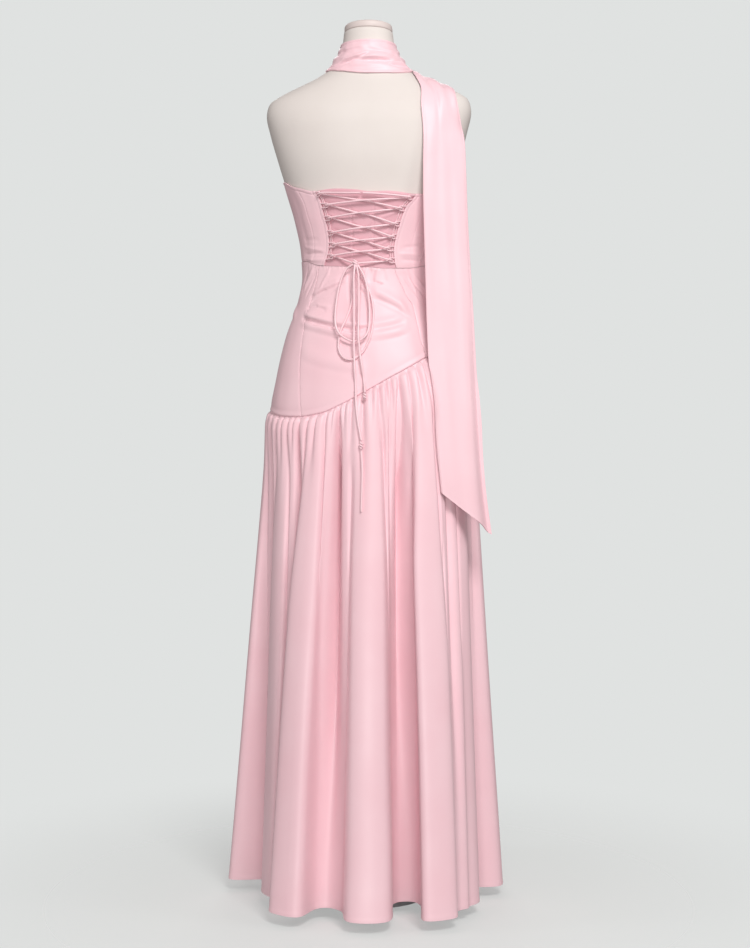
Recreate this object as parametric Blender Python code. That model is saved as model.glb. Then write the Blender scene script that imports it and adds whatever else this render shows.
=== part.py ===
"""Halter dress on a limbless dress form, with laced back, draped basque, gathered skirt and long scarf.

Metres, +Z up, origin on the floor at the middle of the stand. The dress faces -Y and its laced back
faces +Y. A place on the figure is given by its turn, in degrees from the middle of the back towards +X,
and its height.
"""
import math

import bmesh
import bpy
from mathutils import Vector

FORM_GAP = 0.0006        # cloth to the figure under it
FORM_INSET = 0.0005      # the form lies this far inside the figure where it shows
COVERED_INSET = 0.0026   # and this far where cloth covers it
SEAM_GAP = 0.0003        # between pieces that meet at a seam
CROSS_SEAM_GAP = 0.0010  # at the waist and the skirt seam, whose two sides have other facets
BODICE_WALL = 0.0014
BASQUE_WALL = 0.0014
SKIRT_WALL = 0.0012
SCARF_WALL = 0.0014
BASQUE_EASE = 0.0008     # how loosely the basque lies on the form
PANEL_CLEARANCE = 0.0006 # more room between the back panels and the panel under the lacing

BASE_RADIUS = 0.115
BASE_THICKNESS = 0.012
POLE_RADIUS = 0.014
FORM_FOOT = 0.735        # lowest height of the torso
NECK_TOP = 1.586
CAP_THICKNESS = 0.014
CAP_RADIUS = 0.0445

BAND_TOP = 1.561         # upper edge of the scarf round the neck
HEM_HEIGHT = 0.020
HIP_HEIGHT = 0.875       # the fullest level of the form

# Sections of the dress form: height, half width, depth to the front, depth to the back, squareness
FIGURE = (
    (0.735, 0.1500, 0.086, 0.106, 2.20),
    (0.800, 0.1680, 0.098, 0.124, 2.25),
    (0.875, 0.1790, 0.103, 0.131, 2.25),
    (0.950, 0.1675, 0.103, 0.122, 2.20),
    (1.020, 0.1515, 0.100, 0.106, 2.15),
    (1.090, 0.1280, 0.093, 0.088, 2.10),
    (1.135, 0.1203, 0.086, 0.081, 2.10),
    (1.180, 0.1235, 0.086, 0.080, 2.10),
    (1.240, 0.1353, 0.104, 0.086, 2.15),
    (1.290, 0.1500, 0.118, 0.092, 2.20),
    (1.350, 0.1685, 0.104, 0.097, 2.25),
    (1.400, 0.1830, 0.084, 0.095, 2.25),
    (1.435, 0.1903, 0.070, 0.087, 2.20),
    (1.4545, 0.1865, 0.062, 0.078, 2.15),
    (1.470, 0.1650, 0.058, 0.071, 2.10),
    (1.485, 0.1330, 0.055, 0.065, 2.05),
    (1.500, 0.1000, 0.053, 0.060, 2.00),
    (1.514, 0.0770, 0.051, 0.055, 2.00),
    (1.530, 0.0600, 0.049, 0.051, 2.00),
    (1.550, 0.0500, 0.047, 0.048, 2.00),
    (1.586, 0.0455, 0.045, 0.045, 2.00),
)

# Seams and edges that run round the body: turn, height
WAIST_SEAM = (
    (-180, 1.158), (-90, 1.154), (-60, 1.148), (-40, 1.1415), (-20, 1.1400), (0, 1.1430),
    (20, 1.145), (40, 1.149), (60, 1.160), (90, 1.164), (180, 1.158),
)
SKIRT_SEAM = (
    (-180, 0.962), (-150, 0.985), (-120, 1.000), (-90, 1.004), (-65, 0.997), (-47, 0.983),
    (-23, 0.949), (0, 0.911), (11, 0.893), (22, 0.879), (36, 0.873), (50, 0.875),
    (67, 0.883), (90, 0.893), (120, 0.908), (150, 0.930), (180, 0.962),
)
BACK_TOP_EDGE = (
    (-90, 1.304), (-72, 1.294), (-56, 1.279), (-38, 1.274), (-18, 1.278), (-6, 1.277),
    (5, 1.281), (21, 1.284), (36, 1.282), (48, 1.290), (60, 1.298), (72, 1.308), (90, 1.314),
)
BAND_LOWER_EDGE = (
    (-180, 1.490), (-150, 1.495), (-120, 1.508), (-90, 1.511), (-60, 1.503), (-30, 1.4965),
    (-5, 1.4960), (28, 1.5035), (45, 1.508), (70, 1.512), (90, 1.5135), (120, 1.508),
    (150, 1.495), (180, 1.490),
)

# Edges that run down the body: height, turn
OPENING_LEFT = (
    (1.140, 36.0), (1.150, 35.0), (1.165, 31.5), (1.178, 29.7), (1.197, 28.9), (1.217, 29.1),
    (1.242, 30.9), (1.261, 31.5), (1.290, 36.0),
)
OPENING_RIGHT = (
    (1.135, -30.0), (1.150, -27.4), (1.176, -26.0), (1.195, -27.1), (1.218, -29.1),
    (1.248, -32.4), (1.268, -38.0), (1.290, -42.0),
)
BASQUE_SEAM_LEFT = (
    (0.865, 34.0), (0.900, 36.3), (0.976, 41.9), (1.025, 44.6), (1.052, 47.0), (1.070, 47.8),
    (1.096, 46.4), (1.145, 42.2), (1.165, 41.0),
)
BASQUE_SEAM_RIGHT = (
    (0.950, -43.5), (0.987, -42.8), (1.014, -40.6), (1.047, -40.7), (1.070, -40.8),
    (1.091, -36.1), (1.103, -34.1), (1.141, -27.0), (1.165, -25.0),
)
BASQUE_FRONT_TURN = 140   # the front seams, on both sides
SIDE_SEAM_TURN = 90.0
SIDE_SEAM_HALF = 0.15     # half of the gap at the side seam, in degrees of turn
BODICE_MIDDLE = 1.21      # height half way up the laced panels
PANEL_TUCK = 8.0          # how far the panel under the lacing reaches past its edges, in degrees

# The halter front: height, half of its spread in turn, measured from the middle of the front
HALTER_SPREAD = (
    (1.140, 90.0), (1.290, 90.0), (1.312, 87.0), (1.322, 76.0), (1.340, 60.0), (1.372, 45.0),
    (1.412, 33.0), (1.448, 26.5), (1.474, 29.0), (1.492, 38.0), (1.510, 41.0),
)

# Soft creases of the basque: turn and height of both ends, sag between them, ridge, half width
BASQUE_CREASES = (
    (47, 1.060, 5, 1.036, 0.000, 0.0030, 0.009),
    (47, 1.044, 5, 1.017, 0.000, 0.0032, 0.010),
    (5, 1.036, -27, 1.047, 0.004, 0.0026, 0.009),
    (5, 1.017, -30, 1.030, 0.005, 0.0028, 0.010),
    (45, 1.094, 20, 1.116, 0.000, 0.0030, 0.009),
    (-8, 1.097, -34, 1.066, -0.004, 0.0034, 0.012),
    (8, 1.128, -6, 1.090, 0.000, 0.0018, 0.008),
    (62, 1.110, 48, 1.142, 0.000, 0.0020, 0.007),
    (-46, 1.100, -38, 1.136, 0.000, 0.0020, 0.007),
    (40, 0.990, 0, 0.962, 0.004, 0.0016, 0.014),
    (150, 1.060, 180, 1.040, 0.000, 0.0026, 0.011),
    (-178, 1.092, -146, 1.070, 0.000, 0.0024, 0.010),
    (-100, 1.095, -60, 1.062, 0.000, 0.0022, 0.010),
    (100, 1.085, 66, 1.060, 0.000, 0.0022, 0.010),
)

# The big flutes of the skirt. Crest: turn at the seam, turn and radius at the hem.
# Valley after it: turn at the seam, turn and radius at the hem. Last: how far the crest's lobe swells
# over its valleys, in turn.
FLUTES = (
    (82, 87, 0.2540, 65, 69, 0.172, 2.0),
    (50, 52, 0.2060, 36, 38, 0.176, 1.5),
    (23, 19, 0.2620, 11, 10.5, 0.189, 2.2),
    (-6, -5, 0.2620, -22, -18.5, 0.160, 2.0),
    (-34, -30, 0.2700, -49, -47, 0.222, 3.2),
    (-61, -59, 0.2420, -76, -77, 0.176, 1.8),
    (-93, -93, 0.2430, -107, -106, 0.188, 2.2),
    (-121, -120, 0.2480, -136, -135, 0.182, 2.0),
    (-150, -150, 0.2600, -165, -166, 0.196, 2.4),
    (-180, -181, 0.2560, -195, -195, 0.186, 2.0),
    (-211, -210, 0.2600, -226, -226, 0.182, 2.6),
    (-242, -242, 0.2520, -260, -258, 0.190, 2.0),
)
GATHERS_PER_FLUTE = 4
GATHER_SWELL = 0.0032
GATHER_UNEVEN = (1.0, 0.65, 1.15, 0.8, 1.0, 0.55, 0.9)
# Levels of the skirt's mesh from seam to hem; gathers need the close columns of the first ones
GATHER_LEVELS = (0.0, 0.013, 0.040)
FLUTE_LEVELS = (0.080, 0.140, 0.230, 0.350, 0.500, 0.660, 0.830, 1.0)
CLOSE_COLUMNS = 16        # for each flute, down to the last gather level
WIDE_COLUMNS = 8

# The scarf's tail. Down to its shoulder row it lies on the form: inner turn and height, outer turn and
# height, lift off the form. Then it hangs: inner x, y, z and outer x, y, z.
TAIL_ON_SHOULDER = (
    (-128, 1.4980, -121, 1.4780, 0.0004),
    (-112, 1.5040, -108, 1.4790, 0.0006),
    (-92, 1.5080, -92, 1.4790, 0.0014),
    (-74, 1.5040, -82, 1.4740, 0.0026),
    (-59, 1.4990, -72, 1.4640, 0.0034),
    (-46, 1.4860, -65, 1.4480, 0.0036),
    (-37, 1.4620, -62, 1.4280, 0.0034),
    (-32, 1.4300, -64.5, 1.4040, 0.0034),
)
TAIL_HANGING = (
    (-0.1085, 0.0850, 1.390, -0.1795, 0.0500, 1.375),
    (-0.1090, 0.0880, 1.325, -0.1830, 0.0530, 1.315),
    (-0.1095, 0.0900, 1.260, -0.1855, 0.0560, 1.250),
    (-0.1115, 0.0920, 1.190, -0.1890, 0.0590, 1.180),
    (-0.1140, 0.0950, 1.115, -0.1940, 0.0630, 1.105),
    (-0.1165, 0.0990, 1.040, -0.1985, 0.0680, 1.030),
    (-0.1205, 0.1060, 0.965, -0.2035, 0.0740, 0.945),
    (-0.1270, 0.1160, 0.895, -0.2090, 0.0810, 0.865),
    (-0.1330, 0.1240, 0.830, -0.2150, 0.0870, 0.785),
    (-0.1385, 0.1290, 0.780, -0.2220, 0.0910, 0.720),
    (-0.1430, 0.1310, 0.739, -0.2300, 0.0930, 0.664),
)
TAIL_COLUMNS = 9
TAIL_CLEARANCE = 0.0012  # between the tail and the skirt that it lies on

# The lacing's loops, from the top down: turn and height on the left, turn and height on the right
LOOPS = (
    (31.4, 1.276, -34.2, 1.267),
    (26.5, 1.255, -28.4, 1.247),
    (25.9, 1.232, -26.5, 1.220),
    (25.2, 1.206, -24.9, 1.197),
    (24.3, 1.184, -21.3, 1.175),
    (26.7, 1.163, -23.4, 1.154),
)
LOOP_RADIUS = 0.0011
LOOP_HALF_HEIGHT = 0.0042
LOOP_TIP = 0.0035        # from the eye to the loop's tip
LOOP_FOOT = 0.0034       # height of a loop's ends over the form
LOOP_OFF_EDGE = 0.0011   # from the panel's edge to a loop's ends
LOOP_BEND = 0.0024       # from a loop's tip back to where its legs start
LACE_RADIUS = 0.0016
LACE_UNDER = 0.0040       # heights of the lace's middle over the form
LACE_EYE = 0.0069
LACE_OVER = 0.0098

KNOT_PLACE = (0.0118, 1.1480, 0.0115)     # x, height and distance off the cloth
KNOT_RADIUS = 0.0072
CORD_RADIUS = 0.0019
CORD_STEP = 0.0114        # between the points of a free cord
KNOT_END_GAP = 0.0007     # from a small knot to the cord that runs into it

# Routes of the free cords, chosen by hand: x, height, and distance of the cord's middle off the cloth.
# Each starts at the knot, and the bow's loops end there.
BOW_LOOP_LARGE = (
    (0.0280, 1.1380, 0.0115), (0.0370, 1.1210, 0.0105), (0.0430, 1.0980, 0.0095),
    (0.0465, 1.0700, 0.0092), (0.0460, 1.0440, 0.0092), (0.0410, 1.0250, 0.0092), (0.0290, 1.0130, 0.0092),
    (0.0120, 1.0060, 0.0092), (-0.0050, 1.0110, 0.0092), (-0.0140, 1.0260, 0.0092),
    (-0.0150, 1.0560, 0.0092), (-0.0125, 1.0880, 0.0095), (-0.0060, 1.1180, 0.0110),
    (0.0005, 1.1330, 0.0120),
)
BOW_LOOP_SMALL = (
    (0.0160, 1.1200, 0.0055), (0.0175, 1.0950, 0.0046), (0.0195, 1.0720, 0.0044),
    (0.0270, 1.0480, 0.0044), (0.0365, 1.0240, 0.0044), (0.0395, 0.9980, 0.0044), (0.0345, 0.9830, 0.0044),
    (0.0260, 0.9750, 0.0044), (0.0150, 0.9735, 0.0044), (0.0040, 0.9790, 0.0044), (-0.0080, 0.9920, 0.0044),
    (-0.0190, 1.0200, 0.0044), (-0.0215, 1.0520, 0.0044), (-0.0180, 1.0830, 0.0046),
    (-0.0080, 1.1100, 0.0048), (0.0030, 1.1280, 0.0055),
)
LACE_END_SHORT = (
    (0.0060, 1.1250, 0.0155), (0.0045, 1.0900, 0.0140), (0.0035, 1.0500, 0.0138),
    (0.0030, 1.0210, 0.0138), (0.0015, 1.0020, 0.0138), (-0.0010, 0.9800, 0.0100),
    (-0.0045, 0.9600, 0.0080), (-0.0080, 0.9350, 0.0036),
)
LACE_END_LONG = (
    (0.0138, 1.1200, 0.0150), (0.0130, 1.0850, 0.0140), (0.0120, 1.0500, 0.0138),
    (0.0110, 1.0240, 0.0138), (0.0105, 1.0030, 0.0138), (0.0095, 0.9800, 0.0100), (0.0085, 0.9560, 0.0080),
    (0.0065, 0.9280, 0.0040), (0.0040, 0.8950, 0.0034), (0.0000, 0.8640, 0.0034),
)
LACE_END_TAG = (
    (-0.0095, 0.7800, 0.0028), (-0.0098, 0.7500, 0.0026), (-0.0095, 0.7250, 0.0026),
    (-0.0095, 0.7060, 0.0026),
)
# Free cords: name, route, and what each end meets. Two numbers are a place on the big knot, in degrees
# from straight down towards +X and degrees of tilt towards the back; words are a small knot's end.
FREE_CORDS = (
    ("bow_loop_large", BOW_LOOP_LARGE, (62, 10), (-56, 6)),
    ("bow_loop_small", BOW_LOOP_SMALL, (24, -24), (-20, -26)),
    ("lace_end_short", LACE_END_SHORT, (-28, 40), ("lace_end_short_knot", 1)),
    ("lace_end_long", LACE_END_LONG, (14, 40), ("lace_end_long_knot", 1)),
    ("lace_end_tag", LACE_END_TAG, ("lace_end_long_knot", -1), None),
)
# Small knots on the lace ends: x and height of the middle, radius, half height, gap to the cloth
END_KNOTS = (
    ("lace_end_short_knot", -0.0118, 0.9065, 0.0036, 0.0085, 0.0026),
    ("lace_end_long_knot", -0.0068, 0.8205, 0.0038, 0.0110, 0.0004),
)

# Colours: red, green, blue, roughness, metallic
COLOURS = {
    "form_jersey": (0.86, 0.80, 0.76, 0.75, 0.0),
    "form_cap": (0.80, 0.72, 0.68, 0.45, 0.0),
    "stand_metal": (0.75, 0.75, 0.76, 0.30, 1.0),
    "pink_satin": (0.93, 0.66, 0.70, 0.45, 0.0),
    "pink_lace": (0.90, 0.58, 0.64, 0.50, 0.0),
}


def clear_scene():
    for item in list(bpy.data.objects):
        bpy.data.objects.remove(item, do_unlink=True)


def material(name):
    made = bpy.data.materials.get(name)
    if made is None:
        red, green, blue, roughness, metallic = COLOURS[name]
        made = bpy.data.materials.new(name)
        made.use_nodes = True
        shader = made.node_tree.nodes["Principled BSDF"]
        shader.inputs["Base Color"].default_value = (red, green, blue, 1)
        shader.inputs["Roughness"].default_value = roughness
        shader.inputs["Metallic"].default_value = metallic
        made.diffuse_color = (red, green, blue, 1)
    return made


def place_object(name, data, finish):
    item = bpy.data.objects.new(name, data)
    bpy.context.scene.collection.objects.link(item)
    data.materials.append(material(finish))


def mesh_object(name, points, faces, finish):
    """Makes one closed body from its points and faces, with its faces pointing out."""
    data = bpy.data.meshes.new(name)
    data.from_pydata([tuple(point) for point in points], [], faces)
    shell = bmesh.new()
    shell.from_mesh(data)
    bmesh.ops.recalc_face_normals(shell, faces=shell.faces)
    shell.to_mesh(data)
    shell.free()
    data.shade_smooth()
    data.set_sharp_from_angle(angle=math.radians(50))
    place_object(name, data, finish)


def mix(low, high, share):
    return low + (high - low) * share


def ease(share):
    share = max(0.0, min(1.0, share))
    return share * share * (3 - 2 * share)


def read(rows, at):
    """Reads the columns of a table at a value of its first column, on a curve that doesn't overshoot."""
    if at <= rows[0][0]:
        return rows[0][1:]
    if at >= rows[-1][0]:
        return rows[-1][1:]
    index = max(i for i in range(len(rows) - 1) if rows[i][0] <= at)
    low, high = rows[index], rows[index + 1]
    before = rows[max(index - 1, 0)]
    after = rows[min(index + 2, len(rows) - 1)]
    span = high[0] - low[0]
    share = (at - low[0]) / span
    values = []
    for column in range(1, len(low)):
        slope = (high[column] - low[column]) / span
        slope_before = slope if before is low else (low[column] - before[column]) / (low[0] - before[0])
        slope_after = slope if after is high else (after[column] - high[column]) / (after[0] - high[0])
        start = 2 * slope * slope_before / (slope + slope_before) if slope * slope_before > 0 else 0.0
        end = 2 * slope * slope_after / (slope + slope_after) if slope * slope_after > 0 else 0.0
        bend_in = share * (1 - share) ** 2 * span * start
        bend_out = share ** 2 * (1 - share) * span * end
        values.append(mix(low[column], high[column], ease(share)) + bend_in - bend_out)
    return tuple(values)


def wrap(turn):
    return (turn + 180.0) % 360.0 - 180.0


def figure_point(turn, height):
    """The form's surface at a turn in degrees and a height."""
    half, front, back, square = read(FIGURE, height)
    side, ahead = math.sin(math.radians(turn)), math.cos(math.radians(turn))
    grow = (abs(side) ** square + abs(ahead) ** square) ** (-1 / square)
    depth = back if ahead >= 0 else front
    return Vector((half * side * grow, depth * ahead * grow, height))


def figure_normal(turn, height):
    along = figure_point(turn + 0.5, height) - figure_point(turn - 0.5, height)
    up = figure_point(turn, height + 0.002) - figure_point(turn, height - 0.002)
    return up.cross(along).normalized()


def on_form(turn, height, lift):
    return figure_point(turn, height) + figure_normal(turn, height) * lift


def wall_faces(rows, columns, ring):
    """Faces of a wall whose outer grid comes first and whose inner grid follows."""
    inner = rows * columns
    faces = []
    last = columns if ring else columns - 1
    for row in range(rows - 1):
        for column in range(last):
            right = (column + 1) % columns
            a, b = row * columns + column, row * columns + right
            c, d = a + columns, b + columns
            faces.append((a, b, d, c))
            faces.append((inner + a, inner + c, inner + d, inner + b))
    for column in range(last):
        right = (column + 1) % columns
        faces.append((column, inner + column, inner + right, right))
        top = (rows - 1) * columns
        faces.append((top + column, top + right, inner + top + right, inner + top + column))
    if not ring:
        for row in range(rows - 1):
            for column in (0, columns - 1):
                a = row * columns + column
                faces.append((a, a + columns, inner + a + columns, inner + a))
    return faces


def cloth_wall(name, outer, inner, ring=False):
    """A wall of cloth between two grids of points with the same rows and columns."""
    rows, columns = len(outer), len(outer[0])
    points = [point for row in outer for point in row] + [point for row in inner for point in row]
    mesh_object(name, points, wall_faces(rows, columns, ring), "pink_satin")


def form_grid(places, lift, thickness):
    """Outer and inner grids of a wall that follows the form; lift is a function of turn and height."""
    outer, inner = [], []
    for row in places:
        inner.append([on_form(turn, height, lift(turn, height)) for turn, height in row])
        outer.append([on_form(turn, height, lift(turn, height) + thickness) for turn, height in row])
    return outer, inner


def build_form():
    columns = 32
    heights = (0.735, 0.742, 0.770, 0.820, 0.875, 0.930, 0.990, 1.050, 1.095, 1.130, 1.160, 1.190,
               1.225, 1.265, 1.305, 1.345, 1.390, 1.430, 1.4545, 1.472, 1.489, 1.505, 1.522, 1.545, 1.586)
    points = []
    for height in heights:
        shrink = 0.93 if height == FORM_FOOT else 1.0
        for column in range(columns):
            turn = 360.0 * column / columns
            front = abs(wrap(turn)) > 100.0
            covered = ease(((1.47 if front else 1.305) - height) / 0.04)
            place = on_form(turn, height, -mix(FORM_INSET, COVERED_INSET, covered))
            points.append(Vector((place.x * shrink, place.y * shrink, height)))
    faces = [tuple(range(columns)), tuple(range(len(points) - columns, len(points)))]
    for row in range(len(heights) - 1):
        for column in range(columns):
            right = (column + 1) % columns
            a, b = row * columns + column, row * columns + right
            faces.append((a, b, b + columns, a + columns))
    mesh_object("form_torso", points, faces, "form_jersey")


def turned_solid(name, profile, finish, segments):
    """A solid turned about the Z axis from a profile of radius and height, lowest first."""
    points = []
    for radius, height in profile:
        for step in range(segments):
            angle = 2 * math.pi * step / segments
            points.append((radius * math.cos(angle), radius * math.sin(angle), height))
    faces = [tuple(range(segments)), tuple(range(len(points) - segments, len(points)))]
    for row in range(len(profile) - 1):
        for step in range(segments):
            right = (step + 1) % segments
            a, b = row * segments + step, row * segments + right
            faces.append((a, b, b + segments, a + segments))
    mesh_object(name, points, faces, finish)


def build_stand():
    low = NECK_TOP + SEAM_GAP
    top = low + CAP_THICKNESS
    turned_solid("form_neck_cap", (
        (CAP_RADIUS, low), (CAP_RADIUS, low + 0.007), (CAP_RADIUS - 0.002, low + 0.011),
        (CAP_RADIUS - 0.007, top)), "form_cap", 24)
    pole_foot = BASE_THICKNESS + SEAM_GAP
    turned_solid("form_pole", (
        (0.030, pole_foot), (0.030, pole_foot + 0.010), (POLE_RADIUS, pole_foot + 0.024),
        (POLE_RADIUS, FORM_FOOT - SEAM_GAP)), "stand_metal", 16)
    turned_solid("form_base", (
        (BASE_RADIUS, 0.0), (BASE_RADIUS, BASE_THICKNESS * 0.6), (BASE_RADIUS - 0.006, BASE_THICKNESS)),
        "stand_metal", 32)


def waist_height(turn):
    return read(WAIST_SEAM, wrap(turn))[0]


def seam_height(turn):
    return read(SKIRT_SEAM, wrap(turn))[0]


def back_top(turn):
    return read(BACK_TOP_EDGE, turn)[0]


def panel_lift(turn, height):
    """The back panels rise off the form near the opening, where they lie on the modesty panel."""
    edge = read(OPENING_LEFT, height)[0] if turn >= 0 else -read(OPENING_RIGHT, height)[0]
    tuck = ease((edge + 30.0 - abs(turn)) / 14.0)
    return FORM_GAP + (BODICE_WALL * 0.8 + SEAM_GAP + PANEL_CLEARANCE) * tuck


def build_bodice_back():
    """The two laced panels, each from its edge of the opening round to the side seam."""
    rows, columns = 8, 9
    sides = (
        ("bodice_back_left", OPENING_LEFT, SIDE_SEAM_TURN),
        ("bodice_back_right", OPENING_RIGHT, -SIDE_SEAM_TURN),
    )
    for name, edge, side in sides:
        places = []
        for row in range(rows):
            line = []
            for column in range(columns):
                share = column / (columns - 1)
                turn = mix(read(edge, BODICE_MIDDLE)[0], side, share)
                for _ in range(3):
                    low = waist_height(turn) + CROSS_SEAM_GAP / 2
                    height = mix(low, back_top(turn), row / (rows - 1))
                    turn = mix(read(edge, height)[0], side - math.copysign(SIDE_SEAM_HALF, side), share)
                line.append((turn, height))
            places.append(line)
        outer, inner = form_grid(places, panel_lift, BODICE_WALL)
        cloth_wall(name, outer, inner)


def build_modesty_panel():
    """The panel under the lacing; it reaches a little way under both back panels."""
    rows, columns = 7, 11
    places = []
    for row in range(rows):
        line = []
        for column in range(columns):
            share = column / (columns - 1)
            turn = mix(-35.0, 35.0, share)
            for _ in range(3):
                low = waist_height(turn) + CROSS_SEAM_GAP / 2
                height = mix(low, back_top(turn) - 0.0008, row / (rows - 1))
                right_edge = read(OPENING_RIGHT, height)[0] - PANEL_TUCK
                left_edge = read(OPENING_LEFT, height)[0] + PANEL_TUCK
                turn = mix(right_edge, left_edge, share)
            line.append((turn, height))
        places.append(line)
    outer, inner = form_grid(places, lambda turn, height: FORM_GAP, BODICE_WALL * 0.8)
    cloth_wall("modesty_panel", outer, inner)


def halter_top(turn):
    return read(BAND_LOWER_EDGE, wrap(turn))[0] - 2 * SEAM_GAP


def build_bodice_front():
    """The halter front, from one side seam round the bust to the other, narrowing to the neck."""
    shares = (0.0, 0.10, 0.19, 0.27, 0.34, 0.40, 0.445, 0.48, 0.54, 0.61, 0.68, 0.76, 0.84, 0.91, 0.96, 1.0)
    columns = 17
    places = []
    for share in shares:
        line = []
        for column in range(columns):
            across = 2.0 * column / (columns - 1) - 1.0
            turn = 180.0 + 40.0 * across
            for _ in range(3):
                low = waist_height(turn) + CROSS_SEAM_GAP / 2
                height = mix(low, halter_top(turn), share)
                spread = read(HALTER_SPREAD, height)[0]
                turn = 180.0 + spread * across
            line.append((turn, height))
        places.append(line)
    outer, inner = form_grid(places, lambda turn, height: FORM_GAP, BODICE_WALL)
    cloth_wall("bodice_front", outer, inner)


def crease_lift(turn, height):
    """How far the soft creases raise the basque off the form."""
    lift = 0.0
    for turn_a, height_a, turn_b, height_b, sag, ridge, half_width in BASQUE_CREASES:
        spread = wrap(turn_b - turn_a)
        along = wrap(turn - turn_a) / spread
        if not -0.15 < along < 1.15:
            continue
        middle = mix(height_a, height_b, along) - sag * 4 * along * (1 - along)
        fade = ease((along + 0.15) / 0.3) * ease((1.15 - along) / 0.3)
        off_line = (height - middle) / half_width
        lift += ridge * fade * math.exp(-off_line * off_line)
    return lift


def basque_lift(turn, height):
    from_top = ease((waist_height(turn) - height) / 0.02)
    from_bottom = ease((height - seam_height(turn)) / 0.02)
    return FORM_GAP + BASQUE_EASE * from_bottom + crease_lift(turn, height) * from_top * from_bottom


def build_basque():
    left_front = ((0.80, BASQUE_FRONT_TURN), (1.20, BASQUE_FRONT_TURN))
    right_front = ((0.80, -BASQUE_FRONT_TURN), (1.20, -BASQUE_FRONT_TURN))
    far_front = ((0.80, 360 - BASQUE_FRONT_TURN), (1.20, 360 - BASQUE_FRONT_TURN))
    pieces = (
        ("basque_back_centre", BASQUE_SEAM_RIGHT, BASQUE_SEAM_LEFT, 15),
        ("basque_side_left", BASQUE_SEAM_LEFT, left_front, 11),
        ("basque_side_right", right_front, BASQUE_SEAM_RIGHT, 11),
        ("basque_front", left_front, far_front, 10),
    )
    rows = 12
    for name, start, end, columns in pieces:
        places = []
        for row in range(rows):
            line = []
            for column in range(columns):
                share = column / (columns - 1)
                turn = mix(read(start, 1.0)[0], read(end, 1.0)[0], share)
                for _ in range(4):
                    low = seam_height(turn) + CROSS_SEAM_GAP / 2
                    high = waist_height(turn) - CROSS_SEAM_GAP / 2
                    height = mix(low, high, row / (rows - 1))
                    seam_half = math.degrees(SEAM_GAP / 2 / 0.09)
                    turn = mix(read(start, height)[0] + seam_half, read(end, height)[0] - seam_half, share)
                line.append((turn, height))
            places.append(line)
        outer, inner = form_grid(places, basque_lift, BASQUE_WALL)
        cloth_wall(name, outer, inner)


def hip_radius(turn):
    """Radius of the form at its fullest level; the skirt hangs free below it."""
    place = figure_point(turn, HIP_HEIGHT)
    return math.hypot(place.x, place.y)


def flute_turn(flute, at_hem):
    """Turn of the skirt at a flute number with a fraction, at the seam or at the hem."""
    crest_column, valley_column = (1, 4) if at_hem else (0, 3)
    count = len(FLUTES)
    index = math.floor(flute)
    share = flute - index
    lap, next_lap = index // count, (index + 1) // count
    crest = FLUTES[index % count][crest_column] - 360.0 * lap
    valley = FLUTES[index % count][valley_column] - 360.0 * lap
    crest_after = FLUTES[(index + 1) % count][crest_column] - 360.0 * next_lap
    if share < 0.5:
        return mix(crest, valley, share * 2)
    return mix(valley, crest_after, share * 2 - 1)


def flute_radius(flute):
    """Radius of the hem at a flute number with a fraction."""
    index = math.floor(flute)
    share = flute - index
    here, after = FLUTES[index % len(FLUTES)], FLUTES[(index + 1) % len(FLUTES)]
    hump = 0.5 + 0.5 * math.cos(2 * math.pi * share)
    return mix(here[5], here[2] if share < 0.5 else after[2], hump)


def skirt_top(flute):
    return seam_height(flute_turn(flute, False)) - CROSS_SEAM_GAP / 2


def gather_swell(flute, level):
    """How far the gathers push the cloth out below the seam; they fade into the flutes."""
    gather = GATHERS_PER_FLUTE * flute
    uneven = GATHER_UNEVEN[math.floor(gather) % len(GATHER_UNEVEN)]
    fade = ease(level / 0.028) * (1 - ease((level - 0.06) / 0.24))
    return GATHER_SWELL * uneven * fade * (0.5 + 0.5 * math.cos(2 * math.pi * gather))


def skirt_point(flute, level):
    """Middle of the skirt's wall: flute number with a fraction, and level from 0, seam, to 1, hem."""
    swell = FLUTES[math.floor(flute + 0.5) % len(FLUTES)][6] * math.sin(4 * math.pi * flute)
    turn = mix(flute_turn(flute, False), flute_turn(flute, True), level) - swell * ease(level * 1.5)
    height = mix(skirt_top(flute), HEM_HEIGHT, level)
    level_of_form = max(height, HIP_HEIGHT)
    place = figure_point(turn, level_of_form)
    normal = figure_normal(turn, level_of_form)
    facing = math.cos(math.radians(turn)) ** 2
    fall = level ** (1.0 - 0.22 * facing)
    keep_off = 0.0030 * ease(level / 0.03)
    spread = (flute_radius(flute) - hip_radius(turn)) * fall + keep_off + gather_swell(flute, level)
    outward = Vector((place.x, place.y, 0)).normalized()
    flat = Vector((normal.x, normal.y, 0)).normalized()
    point = place + outward * spread + flat * (FORM_GAP + SKIRT_WALL / 2)
    return Vector((point.x, point.y, height))


def skirt_normal(flute, level):
    low, high = max(level - 0.004, 0.0), min(level + 0.004, 1.0)
    along = skirt_point(flute + 0.012, level) - skirt_point(flute - 0.012, level)
    down = skirt_point(flute, high) - skirt_point(flute, low)
    return along.cross(down).normalized()


def skirt_rows(first, last):
    """Rows of flute numbers and levels: close columns for the gathers, wide ones for the flutes."""
    rows = []
    for level in GATHER_LEVELS + FLUTE_LEVELS:
        each = CLOSE_COLUMNS if level in GATHER_LEVELS else WIDE_COLUMNS
        count = (last - first) * each
        rows.append([(first + step / each, level) for step in range(count + 1)])
    return rows


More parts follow.
